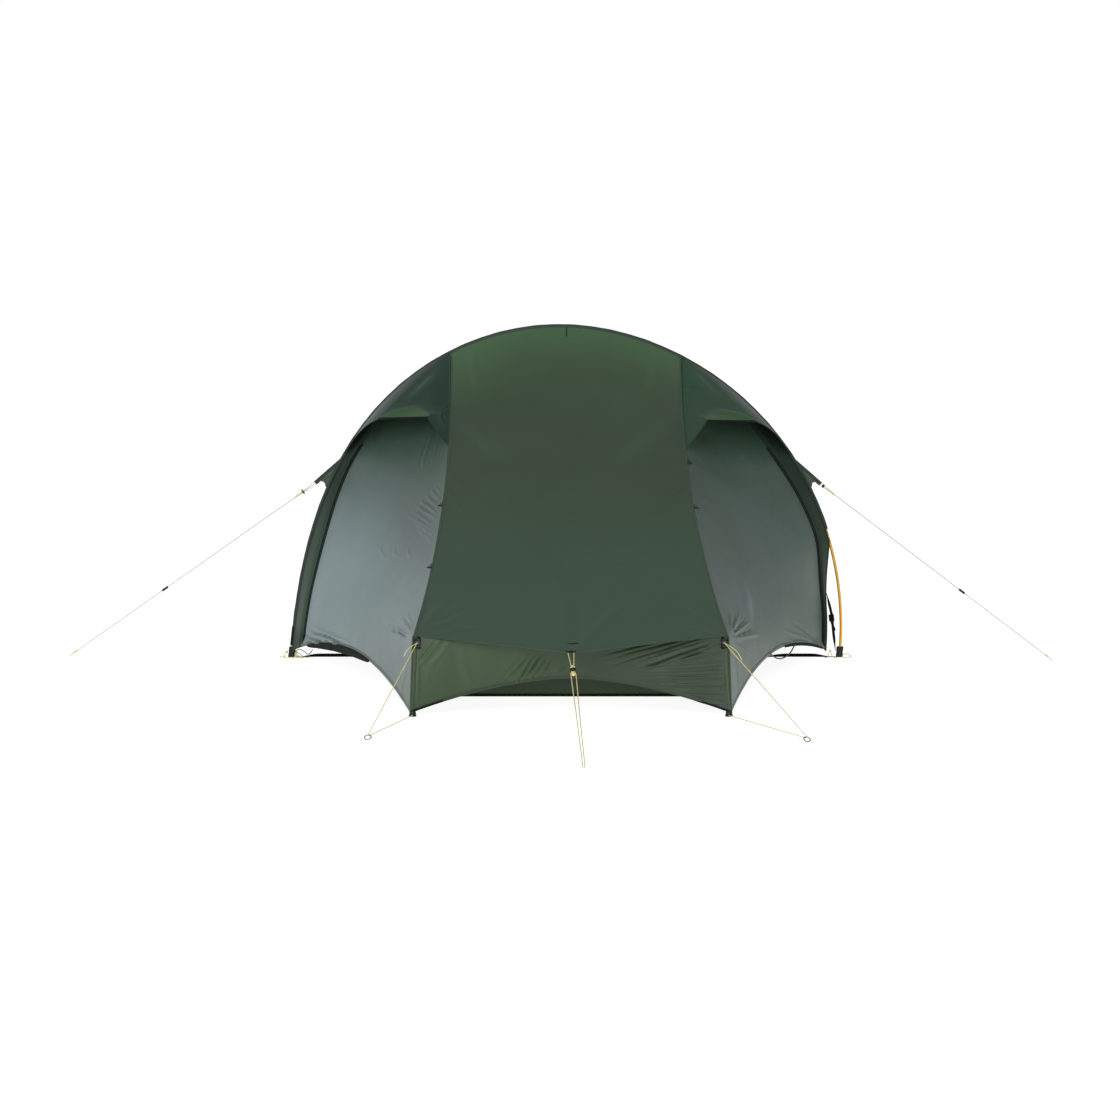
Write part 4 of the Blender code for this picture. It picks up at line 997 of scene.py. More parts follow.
hoodFolds = {
    -1: [(450, 408, 437, 417, 5, 2.6), (450, 413, 438, 422, 5, 2.8), (449, 419, 440, 428, 5, 2.6),
         (448, 424, 442, 432, 5, 2.2), (450, 402, 440, 410, 5, 1.8), (447, 432, 442, 438, 5, 1.6),
         (440, 372, 410, 400, 26, 2.0)],
    1: [(674, 396, 686, 413, 6, 3.0, 2), (676, 389, 699, 394, 6, 2.8, -2), (676, 403, 687, 419, 6, 3.0, 2),
        (677, 412, 684, 426, 5, 2.6), (678, 423, 682, 438, 5, 2.2), (674, 384, 694, 386, 6, 2.0, -2),
        (690, 372, 716, 396, 26, 2.0)],
}
hoods = {}
for word, side in sides.items():
    h = hoodSize
    downs = steps(h["peak"], 1 - h["brim"], h["rows"] - 10)[:-1] + steps(1 - h["brim"], 1, 10)
    acrosses = [h["knee"] * i / 5 for i in range(5)]
    acrosses += steps(h["knee"], h["outer"], 32)[:-1] + steps(h["outer"], 1, 26)
    rows = []
    for down in downs:
        low, high = hoodPoint(side, down, h["knee"]), hoodPoint(side, down, h["outer"])
        weight = float(smooth(0.45, 1 - h["brim"], down))
        row = []
        for across in acrosses:
            point = hoodPoint(side, down, across)
            if h["knee"] < across < h["outer"]:
                share = (across - h["knee"]) / (h["outer"] - h["knee"])
                point = lerp(point, lerp(low, high, share), weight)
            row.append(point)
        rows.append(row)
    plain = asGrid(rows)
    normal = facingNormals(plain, hoodOut(side))
    downShare = np.array(downs)[:, None]
    acrossShare = np.array(acrosses)[None, :]
    calm = smooth(0, 0.02, acrossShare) * smooth(0, 0.1, 1 - acrossShare) * smooth(1, 0.88, downShare)
    calm = calm * smooth(0.1, 0.2, downShare)
    creases = h["folds"] * foldField(plain, hoodFolds[side]) * calm
    lift = creases + h["swell"] * roll(plain, h["swellScale"], 21 + side) * calm
    alongBrim = np.clip((acrossShare - h["knee"]) / (h["outer"] - h["knee"]), 0, 1)
    arc = 1 - h["arcHeight"] * np.sin(np.pi * alongBrim ** 0.72) ** 0.8
    lift = lift + h["arcLift"] * np.exp(-((downShare - arc) / 0.05) ** 2) * np.sin(np.pi * alongBrim)
    grid = plain + normal * lift[..., None]
    # Painted light and shade: each hood has its own base tone, the left one darker; the brim's lens is
    # painted lighter where it faces forward; folds add painted shade and highlight.
    deep = 0.10 if side < 0 else 0.48
    lens = smooth(-0.01, 0.02, downShare - arc) * (alongBrim > 0) * (alongBrim < 1)
    tone = np.clip(deep + (0.95 - deep) * lens + 2.5 * paintedFoldShade * creases, 0, 1)
    brimRow, first, last = h["rows"] - 10, 5, 37
    keep = np.ones((grid.shape[0] - 1, grid.shape[1] - 1), bool)
    keep[brimRow:, first:last] = False
    sew(f"hood_{word}", grid, hoodCloth, f"vent_hood_{word}", keep=keep, tone=tone)
    brimCut = (slice(brimRow, None), slice(first, last + 1))
    sew(f"brim_{word}", grid[brimCut], hoodCloth, f"vent_brim_{word}",
        body=f"vent_brim_{word}", thickness=0.0012, tone=tone[brimCut])
    hoods[word] = (grid, normal, first, last)
print("hoods are sewn")


# End walls

endFolds = [
    (441, 639, 421, 664, 6, 3.0), (433, 640, 418, 659, 6, 2.8), (450, 641, 430, 668, 7, 1.8),
    (418, 664, 416, 700, 7, 2.2), (530.5, 652, 505.6, 682.7, 3.4, -3.6), (536.5, 652, 517, 682.7, 3.4, -3.8),
    (543, 653, 524.7, 679.5, 3.4, -3.8), (548, 655, 532.4, 679.5, 3.4, -3.6), (553, 657, 542, 677, 3.4, -3.0),
    (533.5, 652, 511, 682.7, 3.4, 2.0), (540, 652, 521, 681, 3.4, 2.0), (545.5, 654, 528.5, 679.5, 3.4, 2.0),
    (566, 664, 558, 673, 3.4, -2.6), (524, 652, 500, 681, 4, -2.2), (582, 656, 576, 676, 4, -1.6),
    (590, 656, 584, 674, 5, 1.6), (599, 655, 590, 674, 5, 1.6),
    (709, 637, 612, 671, 4, 2.2), (698, 637, 605, 665, 4, 2.0), (719, 638.5, 630, 670, 4, 2.0),
    (688, 636, 597, 659, 4, 1.6), (722, 641, 642, 671, 4, 2.0), (714, 637.5, 606, 672.5, 2.3, -3.2),
    (704, 637, 602, 669, 2.3, -3.2), (692, 636.5, 598, 662, 2.3, -2.6), (724, 639.5, 630, 672, 2.3, -3.0),
    (725, 644, 645, 671, 2.3, -2.6), (682, 636, 600, 655, 2.3, -2.2), (676, 636, 612, 649, 4, 1.4),
    (724, 650, 650, 667, 5, 2.4), (725, 660.6, 645, 667, 4.5, 2.2), (724, 669, 641.5, 672, 4.5, 2.4),
    (723, 677, 645, 678.4, 4.5, 2.4), (723, 684.7, 658, 684.7, 4.5, 2.2), (722, 693, 675, 691, 4.5, 2.0),
    (721, 704.6, 688, 699, 4.5, 1.8), (724, 664.6, 650, 669.5, 4, 1.6), (723, 673, 646, 675, 4, 1.6),
    (726, 655, 722, 700, 8, 2.0), (460, 648, 470, 690, 16, 2.4),
]
wallRows, wallColumns = 104, 230
wallRelief = {"folds": 1.15, "waves": 0.004, "waveCount": 7, "swell": 0.0014, "swellScale": 7.0,
              "ripple": 0.0009, "rippleScale": 20.0}
w = wallRelief
endWalls = {}
for word, end in ends.items():
    plain = asGrid([[endWallPoint(-1, -1 + 2 * c / wallColumns, r / wallRows) for c in range(wallColumns + 1)]
                    for r in range(wallRows + 1)])
    normal = facingNormals(plain, (0, -1, 0))
    downShare = np.linspace(0, 1, wallRows + 1)[:, None]
    acrossShare = np.abs(np.linspace(-1, 1, wallColumns + 1))[None, :]
    calm = smooth(0, 0.07, downShare) * smooth(0, 0.05, 1 - acrossShare)
    x = plain[..., 0]
    sway = w["waves"] * (1 - acrossShare ** 2) * np.sin(np.pi * np.minimum(1, downShare * 0.9 + 0.05))
    sway = sway * np.cos(w["waveCount"] * np.pi * np.linspace(-1, 1, wallColumns + 1))[None, :]
    creases = w["folds"] * foldField(plain, endFolds)
    lift = creases + sway + w["swell"] * roll(plain, w["swellScale"], 31 + end)
    lift += w["ripple"] * roll(plain, w["rippleScale"], 35 + end)
    grid = plain + normal * (lift * calm)[..., None]
    # Painted shade: the wall is darker towards the tent's right side and towards its hem; folds add painted
    # shade and highlight. The slow roll is random unevenness of the cloth.
    tone = 0.64 + 0.1 * roll(plain, 3.0, 41) - 0.34 * smooth(-0.15, 0.12, x) - 0.22 * smooth(0.2, 0.4, x)
    tone = tone - 0.22 * downShare + 1.1 * paintedFoldShade * creases * calm
    if end > 0:
        grid, tone, normal = mirrored(grid), tone[:, ::-1], mirrored(normal)
    endWalls[word] = (grid, normal)
    sew(f"wall_{word}", grid, wallCloth, f"end_wall_{word}",
        tone=np.clip(tone, 0, 1))
print("end walls are hung")


# Pole, its sleeve and the cups

def archRing(station, profile):
    centre, tangent = arch(station), archTangent(station)
    out = Vector((-tangent.z, 0, tangent.x))
    return [centre + Vector((0, y, 0)) + out * n for y, n in profile]


# Joins rings of points into a tube that may have a bore.
def ringMesh(rings, closedEnds=False):
    count = len(rings[0])
    last = (len(rings) - 1) * count
    travelled = [0.0]
    for a, b in zip(rings, rings[1:]):
        travelled.append(travelled[-1] + (b[0] - a[0]).length)
    faces = ringFaces(len(rings), count)
    if closedEnds:
        faces += [tuple(range(count)), tuple(range(last, last + count))[::-1]]
    else:
        faces += [(last + k, last + (k + 1) % count, (k + 1) % count, k) for k in range(count)]
    around = sum((rings[0][(k + 1) % count] - rings[0][k]).length for k in range(count)) / count
    uvs = [(k * around, far) for far in travelled for k in range(count)]
    return meshOf([p for ring in rings for p in ring], faces, uvs, 40, evenFaces=True)


def unit(values):
    return values / np.maximum(np.linalg.norm(values, axis=-1, keepdims=True), 1e-12)


# A flat tape or webbing along a line, with rounded edges.
def strip(points, normals, width, thickness, lift=0.0, tone=0.0):
    points = np.array([tuple(p) for p in points])
    normals = np.broadcast_to(np.array(normals, float), points.shape)
    tangent = unit(np.gradient(points, axis=0))
    across = unit(np.cross(tangent, normals))
    facing = np.cross(across, tangent)
    t = thickness / 2
    rings = []
    for p, a, n, w in zip(points, across, facing, np.broadcast_to(width, len(points)) / 2):
        profile = [(w, 0.4 * t), (w - t, t), (t - w, t), (-w, 0.4 * t),
                   (-w, -0.4 * t), (t - w, -t), (w - t, -t), (w, -0.4 * t)]
        rings.append([Vector(p + a * x + n * (y + lift)) for x, y in profile])
    mesh = ringMesh(rings, closedEnds=True)
    setTone(mesh, [tone] * len(mesh.vertices))
    return mesh


def addStrip(name, finish, points, normals, width, thickness, lift=0.0, tone=0.0, body=tentBody, node=None):
    addPiece(name, strip(points, normals, width, thickness, lift, tone), finish, body, node)


# The mesh of a bmesh, smooth but for its edges.
def meshFrom(bm):
    mesh = bpy.data.meshes.new("piece")
    bm.to_mesh(mesh)
    bm.free()
    mesh.shade_smooth()
    mesh.set_sharp_from_angle(angle=math.radians(40))
    return mesh


# Several closed shapes as one mesh.
def joined(meshes):
    bm = bmesh.new()
    for mesh in meshes:
        bm.from_mesh(mesh)
        bpy.data.meshes.remove(mesh)
    return meshFrom(bm)


# A moulded block with rounded edges, along its own three axes.
def blockMesh(centre, axes, size, rounding):
    bm = bmesh.new()
    bmesh.ops.create_cube(bm, size=1)
    for v in bm.verts:
        v.co = sum((Vector(a) * (c * s) for a, c, s in zip(axes, v.co, size)), Vector(centre))
    bmesh.ops.bevel(bm, geom=bm.edges[:], offset=rounding, segments=3, affect="EDGES", profile=0.5)
    bmesh.ops.recalc_face_normals(bm, faces=bm.faces[:])
    return meshFrom(bm)


# A shape turned about an axis. outline is distance along the axis and radius, from end to end.
def turnedMesh(base, axis, outline, count=24):
    axis = Vector(axis).normalized()
    first = axis.orthogonal().normalized()
    second = axis.cross(first)
    return ringMesh([[base + axis * along + (first * a + second * b) for a, b in circle(radius, count)]
                     for along, radius in outline], closedEnds=True)


# An outline with two like halves, given from its end to its middle.
def evenOutline(*half):
    return [(-along, radius) for along, radius in half] + [pair for pair in half[::-1] if pair[0]]


# A closed hoop of round wire.
def hoopMesh(centre, first, second, radii, wire, around=40, sidesRound=12):
    rings = []
    first, second = Vector(first), Vector(second)
    out = first.cross(second).normalized()
    for a, b in circle(1, around):
        spoke = (first * (a * radii[1]) + second * (b * radii[0])).normalized()
        place = centre + first * (a * radii[0]) + second * (b * radii[1])
        rings.append([place + spoke * c + out * d for c, d in circle(wire, sidesRound)])
    return ringMesh(rings)


# A line along one edge of a cloth, a little way in from it.
def edgeLine(grid, normal, edge, inset, part=slice(None)):
    if edge in ("left", "right"):
        grid, normal = grid.swapaxes(0, 1), normal.swapaxes(0, 1)
    at, inner = (0, 1) if edge in ("left", "first") else (-1, -2)
    return (grid[at] + unit(grid[inner] - grid[at]) * inset)[part], normal[at][part]


poleSize = {"radius": 0.0045, "wall": 0.0006, "bevel": 0.0003, "ferrule": 0.0035, "ferruleBore": 0.0020,
            "ferruleBevel": 0.0006, "ferruleHalf": 0.034, "sections": 8, "cord": 0.0013}
p = poleSize
perSection = stationCount // p["sections"]
halfGap = smallGap / 2 / stationLength
ferruleReach = p["ferruleHalf"] / stationLength
bore, insert, core = p["radius"] - p["wall"], p["ferrule"], p["ferruleBore"]
for number in range(p["sections"]):
    first = number * perSection + (halfGap if number else 0)
    joint = (number + 1) * perSection
    ended = number == p["sections"] - 1
    last = joint - (0 if ended else halfGap)
    run = list(np.linspace(first, last, 25))
    turns = [(first, bore), (first, p["radius"] - p["bevel"]), (first + 0.01, p["radius"])]
    turns += [(s, p["radius"]) for s in run[1:-1]]
    turns += [(last - 0.01, p["radius"]), (last, p["radius"] - p["bevel"])]
    if not ended:
        back, ahead = joint - ferruleReach, joint + ferruleReach
        turns += [(last, insert), (ahead - 0.02, insert), (ahead, insert - p["ferruleBevel"]), (ahead, core)]
        turns += [(joint, core), (back, core), (back, bore)]
        run = [s for s in run if s < back - 0.05]
    turns += [(s, bore) for s in reversed(run[1:])]
    mesh = ringMesh([archRing(s, circle(r, 18)) for s, r in turns])
    addPiece(f"pole_tube_{number + 1}", mesh, anodised, node=f"pole_section_{number + 1}")
cordLine = [arch(s) for s in np.linspace(0, stationCount, 97)]
addPiece("pole_elastic", tubeMesh(cordLine, p["cord"], 8), rubber, node="pole_shock_cord")

sleeveProfile = []
for i in range(32):
    turn = 2 * math.pi * i / 32
    wide = sleeveSize["halfWidth"] * abs(math.cos(turn)) ** 0.7 * math.copysign(1, math.cos(turn))
    tall = sleeveSize["outside"] if math.sin(turn) > 0 else sleeveSize["inside"]
    sleeveProfile.append((wide, tall * abs(math.sin(turn)) ** 0.8 * math.copysign(1, math.sin(turn))))
outerRun = np.linspace(sleeveStart, sleeveEnd, 420)
rings = []
for station in outerRun:
    pucker = 1 + 0.05 * math.sin(station * 5.1) * math.sin(station * 1.7 + 1)
    rings.append(archRing(station, [(y, n * pucker) for y, n in sleeveProfile]))
rings += [archRing(s, circle(sleeveSize["bore"], 32)) for s in outerRun[::-1][::6]]
addPiece("sleeve", ringMesh(rings), sleeveCloth, node="pole_sleeve")
print("pole and sleeve are made")

cupSize = {"wide": 0.0110, "deep": 0.0066, "bore": 0.0052}
# Heights with a share of the cup's outside, and none where its bore is
cupLevels = [(0.0, 0.90), (0.0012, 1.0), (0.012, 1.0), (0.014, 0.93), (0.018, 0.93), (0.020, 1.0),
             (0.0325, 1.0), (0.034, 0.93), (0.034, None), (0.0042, None)]
for word, side in sides.items():
    low, high = archSide(side, 0), archSide(side, 1)
    rings = []
    for height, share in cupLevels:
        centre = lerp(low, high, (height - low.z) / (high.z - low.z))
        wide = cupSize["wide"] * share if share else cupSize["bore"]
        deep = cupSize["deep"] * share if share else cupSize["bore"]
        rings.append([Vector((centre.x + a * wide, b * deep, height)) for a, b in circle(1, 28)])
    addPiece(f"cup_{word}", ringMesh(rings, closedEnds=True), plastic, node=f"pole_cup_{word}")


# Inner tent: groundsheet with a raised edge, canopy and its two doors

innerSize = {"halfLength": 1.080, "middle": 0.600, "end": 0.400, "tray": 0.100, "wall": 0.0012,
             "height": 0.960, "endHeight": 0.270, "endSlope": 0.100, "endStep": 0.006, "section": 2.5,
             "ridge": 0.92, "doorStart": 0.08, "doorEnd": 0.70, "endLift": 0.022}


def floorHalfWidth(y):
    return lerp(innerSize["middle"], innerSize["end"], abs(y) / innerSize["halfLength"])


def innerHeight(y):
    n = innerSize
    main = n["halfLength"] - n["endSlope"]
    if abs(y) <= main:
        return lerp(n["height"], n["endHeight"], (abs(y) / main) ** n["ridge"])
    return lerp(n["endHeight"], n["tray"] + n["endStep"], (abs(y) - main) / n["endSlope"])


canopyBase = innerSize["tray"] + clothGap


def canopyPoint(y, share):
    angle = math.pi * share
    power = 2 / innerSize["section"]
    half = floorHalfWidth(y) - innerSize["wall"] / 2
    across = math.copysign(abs(math.cos(angle)) ** power, -math.cos(angle))
    height = math.sin(angle) ** power if 0 < share < 1 else 0
    return Vector((half * across, y, canopyBase + (innerHeight(y) - canopyBase) * height))


trayShares = (0.4, 0.7, 0.8, 0.85, 0.9, 0.95, 1.0)
trayTurns = [(0.0, share, None) for share in trayShares]
trayTurns += [(0.0, 1.0, innerSize["tray"]), (innerSize["wall"], 1.0, innerSize["tray"])]
trayTurns += [(innerSize["wall"], share, None) for share in trayShares[::-1]]
trayRings = []
for inset, share, height in trayTurns:
    ring = []
    half = innerSize["halfLength"] - inset
    for sx, ys in ((-1, np.linspace(-half, half, 61)), (1, np.linspace(half, -half, 61))):
        for y in ys:
            low = inset + innerSize["endLift"] * float(smooth(0.82, 1.08, abs(y * share)))
            place = (sx * (floorHalfWidth(y) - inset) * share, y * share)
            ring.append(Vector((*place, low if height is None else height)))
    trayRings.append(ring)
addPiece("groundsheet", ringMesh(trayRings, closedEnds=True), groundCloth, node="inner_floor")

n = innerSize
main = n["halfLength"] - n["endSlope"]
marks = [-n["halfLength"], -main, -n["doorEnd"], -n["doorStart"], n["doorStart"], main, n["halfLength"]]
rowCounts = [8, 16, 40, 10, 50, 8]
ys = [y for a, b, count in zip(marks, marks[1:], rowCounts) for y in np.linspace(a, b, count + 1)[:-1]]
ys.append(n["halfLength"])
doorStartRow, doorEndRow = sum(rowCounts[:2]), sum(rowCounts[:3])
canopySteps, doorSteps = 96, 24
canopy = asGrid([[canopyPoint(y, i / canopySteps) for i in range(canopySteps + 1)] for y in ys])
normal = facingNormals(canopy, (0, 0, 1))
lift = 0.003 * roll(canopy, 5.0, 51) * np.sin(np.linspace(0, np.pi, canopySteps + 1))[None, :]
lift[[0, -1]] = 0
lift = np.where(lift > 0, lift * 0.3, lift)
canopy = canopy + normal * lift[..., None]
doorRun = slice(doorStartRow, doorEndRow + 1)
doorSpans = {"left": slice(0, doorSteps + 1), "right": slice(canopySteps - doorSteps, canopySteps + 1)}
keep = np.ones((len(ys) - 1, canopySteps), bool)
for span in doorSpans.values():
    keep[doorStartRow:doorEndRow, span.start:span.stop - 1] = False
sew("canopy", canopy, innerCloth, "inner_canopy", keep=keep)
for word in sides:
    sew(f"inner_leaf_{word}", canopy[doorRun, doorSpans[word]], innerCloth, f"inner_door_{word}",
        f"inner_door_{word}")
print("inner tent is made")

for word, end in ends.items():
    y = end * innerSize["halfLength"]
    line = [Vector((floorHalfWidth(y) * t, y + end * 0.0010, innerSize["endLift"] + 0.0040))
            for t in np.linspace(-1, 1, 33)]
    addStrip(f"groundsheet_hem_{word}", groundTape, line, (0, end, 0), 0.008, 0.0014)

# The inner doors' zip tapes, on the canopy and on each leaf
innerZip = {"wide": 0.008, "inset": 0.0055, "thick": 0.0009, "lift": 0.0006}
z = innerZip
for word, side in sides.items():
    span = doorSpans[word]
    column = doorSteps if side < 0 else canopySteps - doorSteps
    # Each run is its line, the next line into the door, and the line's normals
    runs = [(canopy[doorRun, column], canopy[doorRun, column + side], normal[doorRun, column])]
    for row, step in ((doorStartRow, 1), (doorEndRow, -1)):
        runs.append((canopy[row, span][2:-2], canopy[row + step, span][2:-2], normal[row, span][2:-2]))
    for label, body, inset in (("canopy", tentBody, -z["inset"]), ("leaf", f"inner_door_{word}", z["inset"])):
        shapes = [strip(line + unit(inner - line) * inset, facing, z["wide"], z["thick"], z["lift"])
                  for line, inner, facing in runs]
        addPiece(f"inner_zip_{label}_{word}", joined(shapes), hemTape, body)


# One node tree sets a small shape again and again along sewn rows

rowTree = bpy.data.node_groups.new("shape_along_rows", "GeometryNodeTree")
rowSockets = {}
for label, kind, way in (("Rows", "NodeSocketGeometry", "INPUT"), ("Shape", "NodeSocketObject", "INPUT"),
                         ("Pitch", "NodeSocketFloat", "INPUT"), ("Looseness", "NodeSocketFloat", "INPUT"),
                         ("Seed", "NodeSocketInt", "INPUT"), ("Finish", "NodeSocketMaterial", "INPUT"),
                         ("Result", "NodeSocketGeometry", "OUTPUT")):
    rowSockets[label] = rowTree.interface.new_socket(label, in_out=way, socket_type=kind).identifier
given = addNode(rowTree, "NodeGroupInput").outputs
curve = addNode(rowTree, "GeometryNodeMeshToCurve", {"Mesh": given["Rows"]}).outputs[0]
spaced = addNode(rowTree, "GeometryNodeResampleCurve", {"Curve": curve, "Length": given["Pitch"]},
                 mode="LENGTH").outputs[0]
opposite = mathNode(rowTree, "MULTIPLY", given["Looseness"], -1.0)
scatter = addNode(rowTree, "FunctionNodeRandomValue", {"Min": opposite, "Max": given["Looseness"],
                  "Seed": given["Seed"]}, data_type="FLOAT_VECTOR").outputs[0]
run = addNode(rowTree, "GeometryNodeInputTangent").outputs[0]
run = addNode(rowTree, "ShaderNodeVectorMath", {0: run, 1: scatter}, operation="ADD").outputs[0]
facing = addNode(rowTree, "GeometryNodeInputNamedAttribute", {"Name": "facing"},
                 data_type="FLOAT_VECTOR").outputs[0]
turn = addNode(rowTree, "FunctionNodeAlignRotationToVector", {"Vector": run}, axis="X").outputs[0]
turn = addNode(rowTree, "FunctionNodeAlignRotationToVector", {"Rotation": turn, "Vector": facing}, axis="Z",
               pivot_axis="X").outputs[0]
shape = addNode(rowTree, "GeometryNodeObjectInfo", {"Object": given["Shape"]}).outputs["Geometry"]
copies = addNode(rowTree, "GeometryNodeInstanceOnPoints", {"Points": spaced, "Instance": shape,
                 "Rotation": turn}).outputs[0]
solid = addNode(rowTree, "GeometryNodeRealizeInstances", {"Geometry": copies}).outputs[0]
solid = addNode(rowTree, "GeometryNodeSetMaterial", {"Geometry": solid, "Material": given["Finish"]})
addNode(rowTree, "NodeGroupOutput", {"Result": solid.outputs[0]})

stitchSize = {"length": 0.0026, "width": 0.00028, "rise": 0.0002, "pitch": 0.0042}
coilSize = {"reach": 0.0022, "wire": 0.00042, "rise": 0.0007, "pitch": 0.0026}
half = stitchSize["length"] / 2
line = [Vector((x, 0, z)) for x, z in ((-half, 0), (0, stitchSize["rise"]), (half, 0))]
stitchShape = newObject("stitch", tubeMesh(line, stitchSize["width"], 5))
reach, rise = coilSize["reach"], coilSize["rise"]
places = ((-reach / 2, 0), (-reach / 3, rise), (reach / 3, rise), (reach / 2, 0))
coilShape = newObject("coil", tubeMesh([Vector((0, y, z)) for y, z in places], coilSize["wire"], 5))


# Rows of stitches or coils as one mesh. A row is points, normals and its lift off the cloth.
def sewRows(name, rows, shape, pitch, finish, seed, looseness=0.05, body=tentBody):
    verts, edges, facings = [], [], []
    for points, normals, lift in rows:
        start = len(verts)
        normals = unit(np.array(normals, float))
        verts += (np.array(points) + normals * lift).tolist()
        facings += normals.tolist()
        edges += [(i, i + 1) for i in range(start, len(verts) - 1)]
    mesh = bpy.data.meshes.new("rows")
    mesh.from_pydata(verts, edges, [])
    mesh.attributes.new("facing", "FLOAT_VECTOR", "POINT").data.foreach_set("vector", np.ravel(facings))
    made = newObject(name, mesh)
    modifier = made.modifiers.new("rows", "NODES")
    modifier.node_group = rowTree
    for label, value in (("Shape", shape), ("Pitch", pitch), ("Looseness", looseness), ("Seed", seed),
                         ("Finish", finish[0])):
        modifier[rowSockets[label]] = value
    finished = bpy.data.meshes.new_from_object(made.evaluated_get(bpy.context.evaluated_depsgraph_get()))
    made.modifiers.remove(modifier)
    made.data = finished
    finished.name = name
    finished.shade_smooth()
    putOn(made, body)


# Seams, hems and their stitches

seamSize = {"width": 0.007, "thick": 0.0010, "hem": 0.011, "hemThick": 0.0015, "hemInset": 0.0055,
            "hemStitch": 0.0035, "bind": 0.007, "bindInset": 0.0035}
s = seamSize
tentStitches, leafStitches = [], {"left": [], "right": []}


# A tape along a cloth's edge. rows are its stitches, from the tape's middle.
def tape(name, finish, cloth, edge, inset, width, thick, lift=0.0, part=slice(None), rows=(), tone=0.0):
    line, facing = edgeLine(*cloth, edge, inset, part)
    for off in rows:
        tentStitches.append((edgeLine(*cloth, edge, inset + off, part)[0], facing, lift + thick / 2))
    addStrip(name, finish, line, facing, width, thick, lift, tone)


def hem(name, finish, cloth, edge):
    tape(name, finish, cloth, edge, s["hemInset"], s["hem"], s["hemThick"], rows=(s["hemStitch"],))


for endWord, end in ends.items():
    roof, wall = (roofs[endWord], roofNormals[endWord]), endWalls[endWord]
    for word, side in sides.items():
        edge = "left" if side * end > 0 else "right"
        tape(f"roof_seam_{endWord}_{word}", roofCloth, roof, edge, 0.0040, s["width"], s["thick"], 0.0005,
             rows=(-0.002, 0.002))
        tape(f"sleeve_seam_{endWord}_{word}", bandCloth, sideCut[word, endWord], "left", 0.004, 0.008,
             s["thick"], 0.0005, rows=(0.002,))
    tape(f"sleeve_seam_{endWord}_top", roofCloth, roof, "first", 0.003, 0.005, s["thick"], 0.0003,
         rows=(0.001,))
    hem(f"roof_hem_{endWord}", roofCloth, roof, "last")
    hem(f"wall_hem_{endWord}", wallCloth, wall, "last")
    for label, edge, part in (("a", "left", slice(0, 24)), ("b", "right", slice(wallColumns - 23, None))):
        tape(f"wall_tape_{endWord}_{label}", hemTape, wall, "last", 0.0030, 0.0060, 0.0011, 0.0013, part)
        tape(f"wall_edge_{endWord}_{label}", wallCloth, wall, edge, 0.006, 0.010, 0.0010, 0.0008,
             rows=(0.003,), tone=0.35)

zipSize = {"tape": 0.0064, "offset": 0.0048, "stitch": 0.0016, "thick": 0.0007, "lift": 0.0006,
           "coil": 0.0009, "coilLift": 0.0008, "fromEnd": 8}
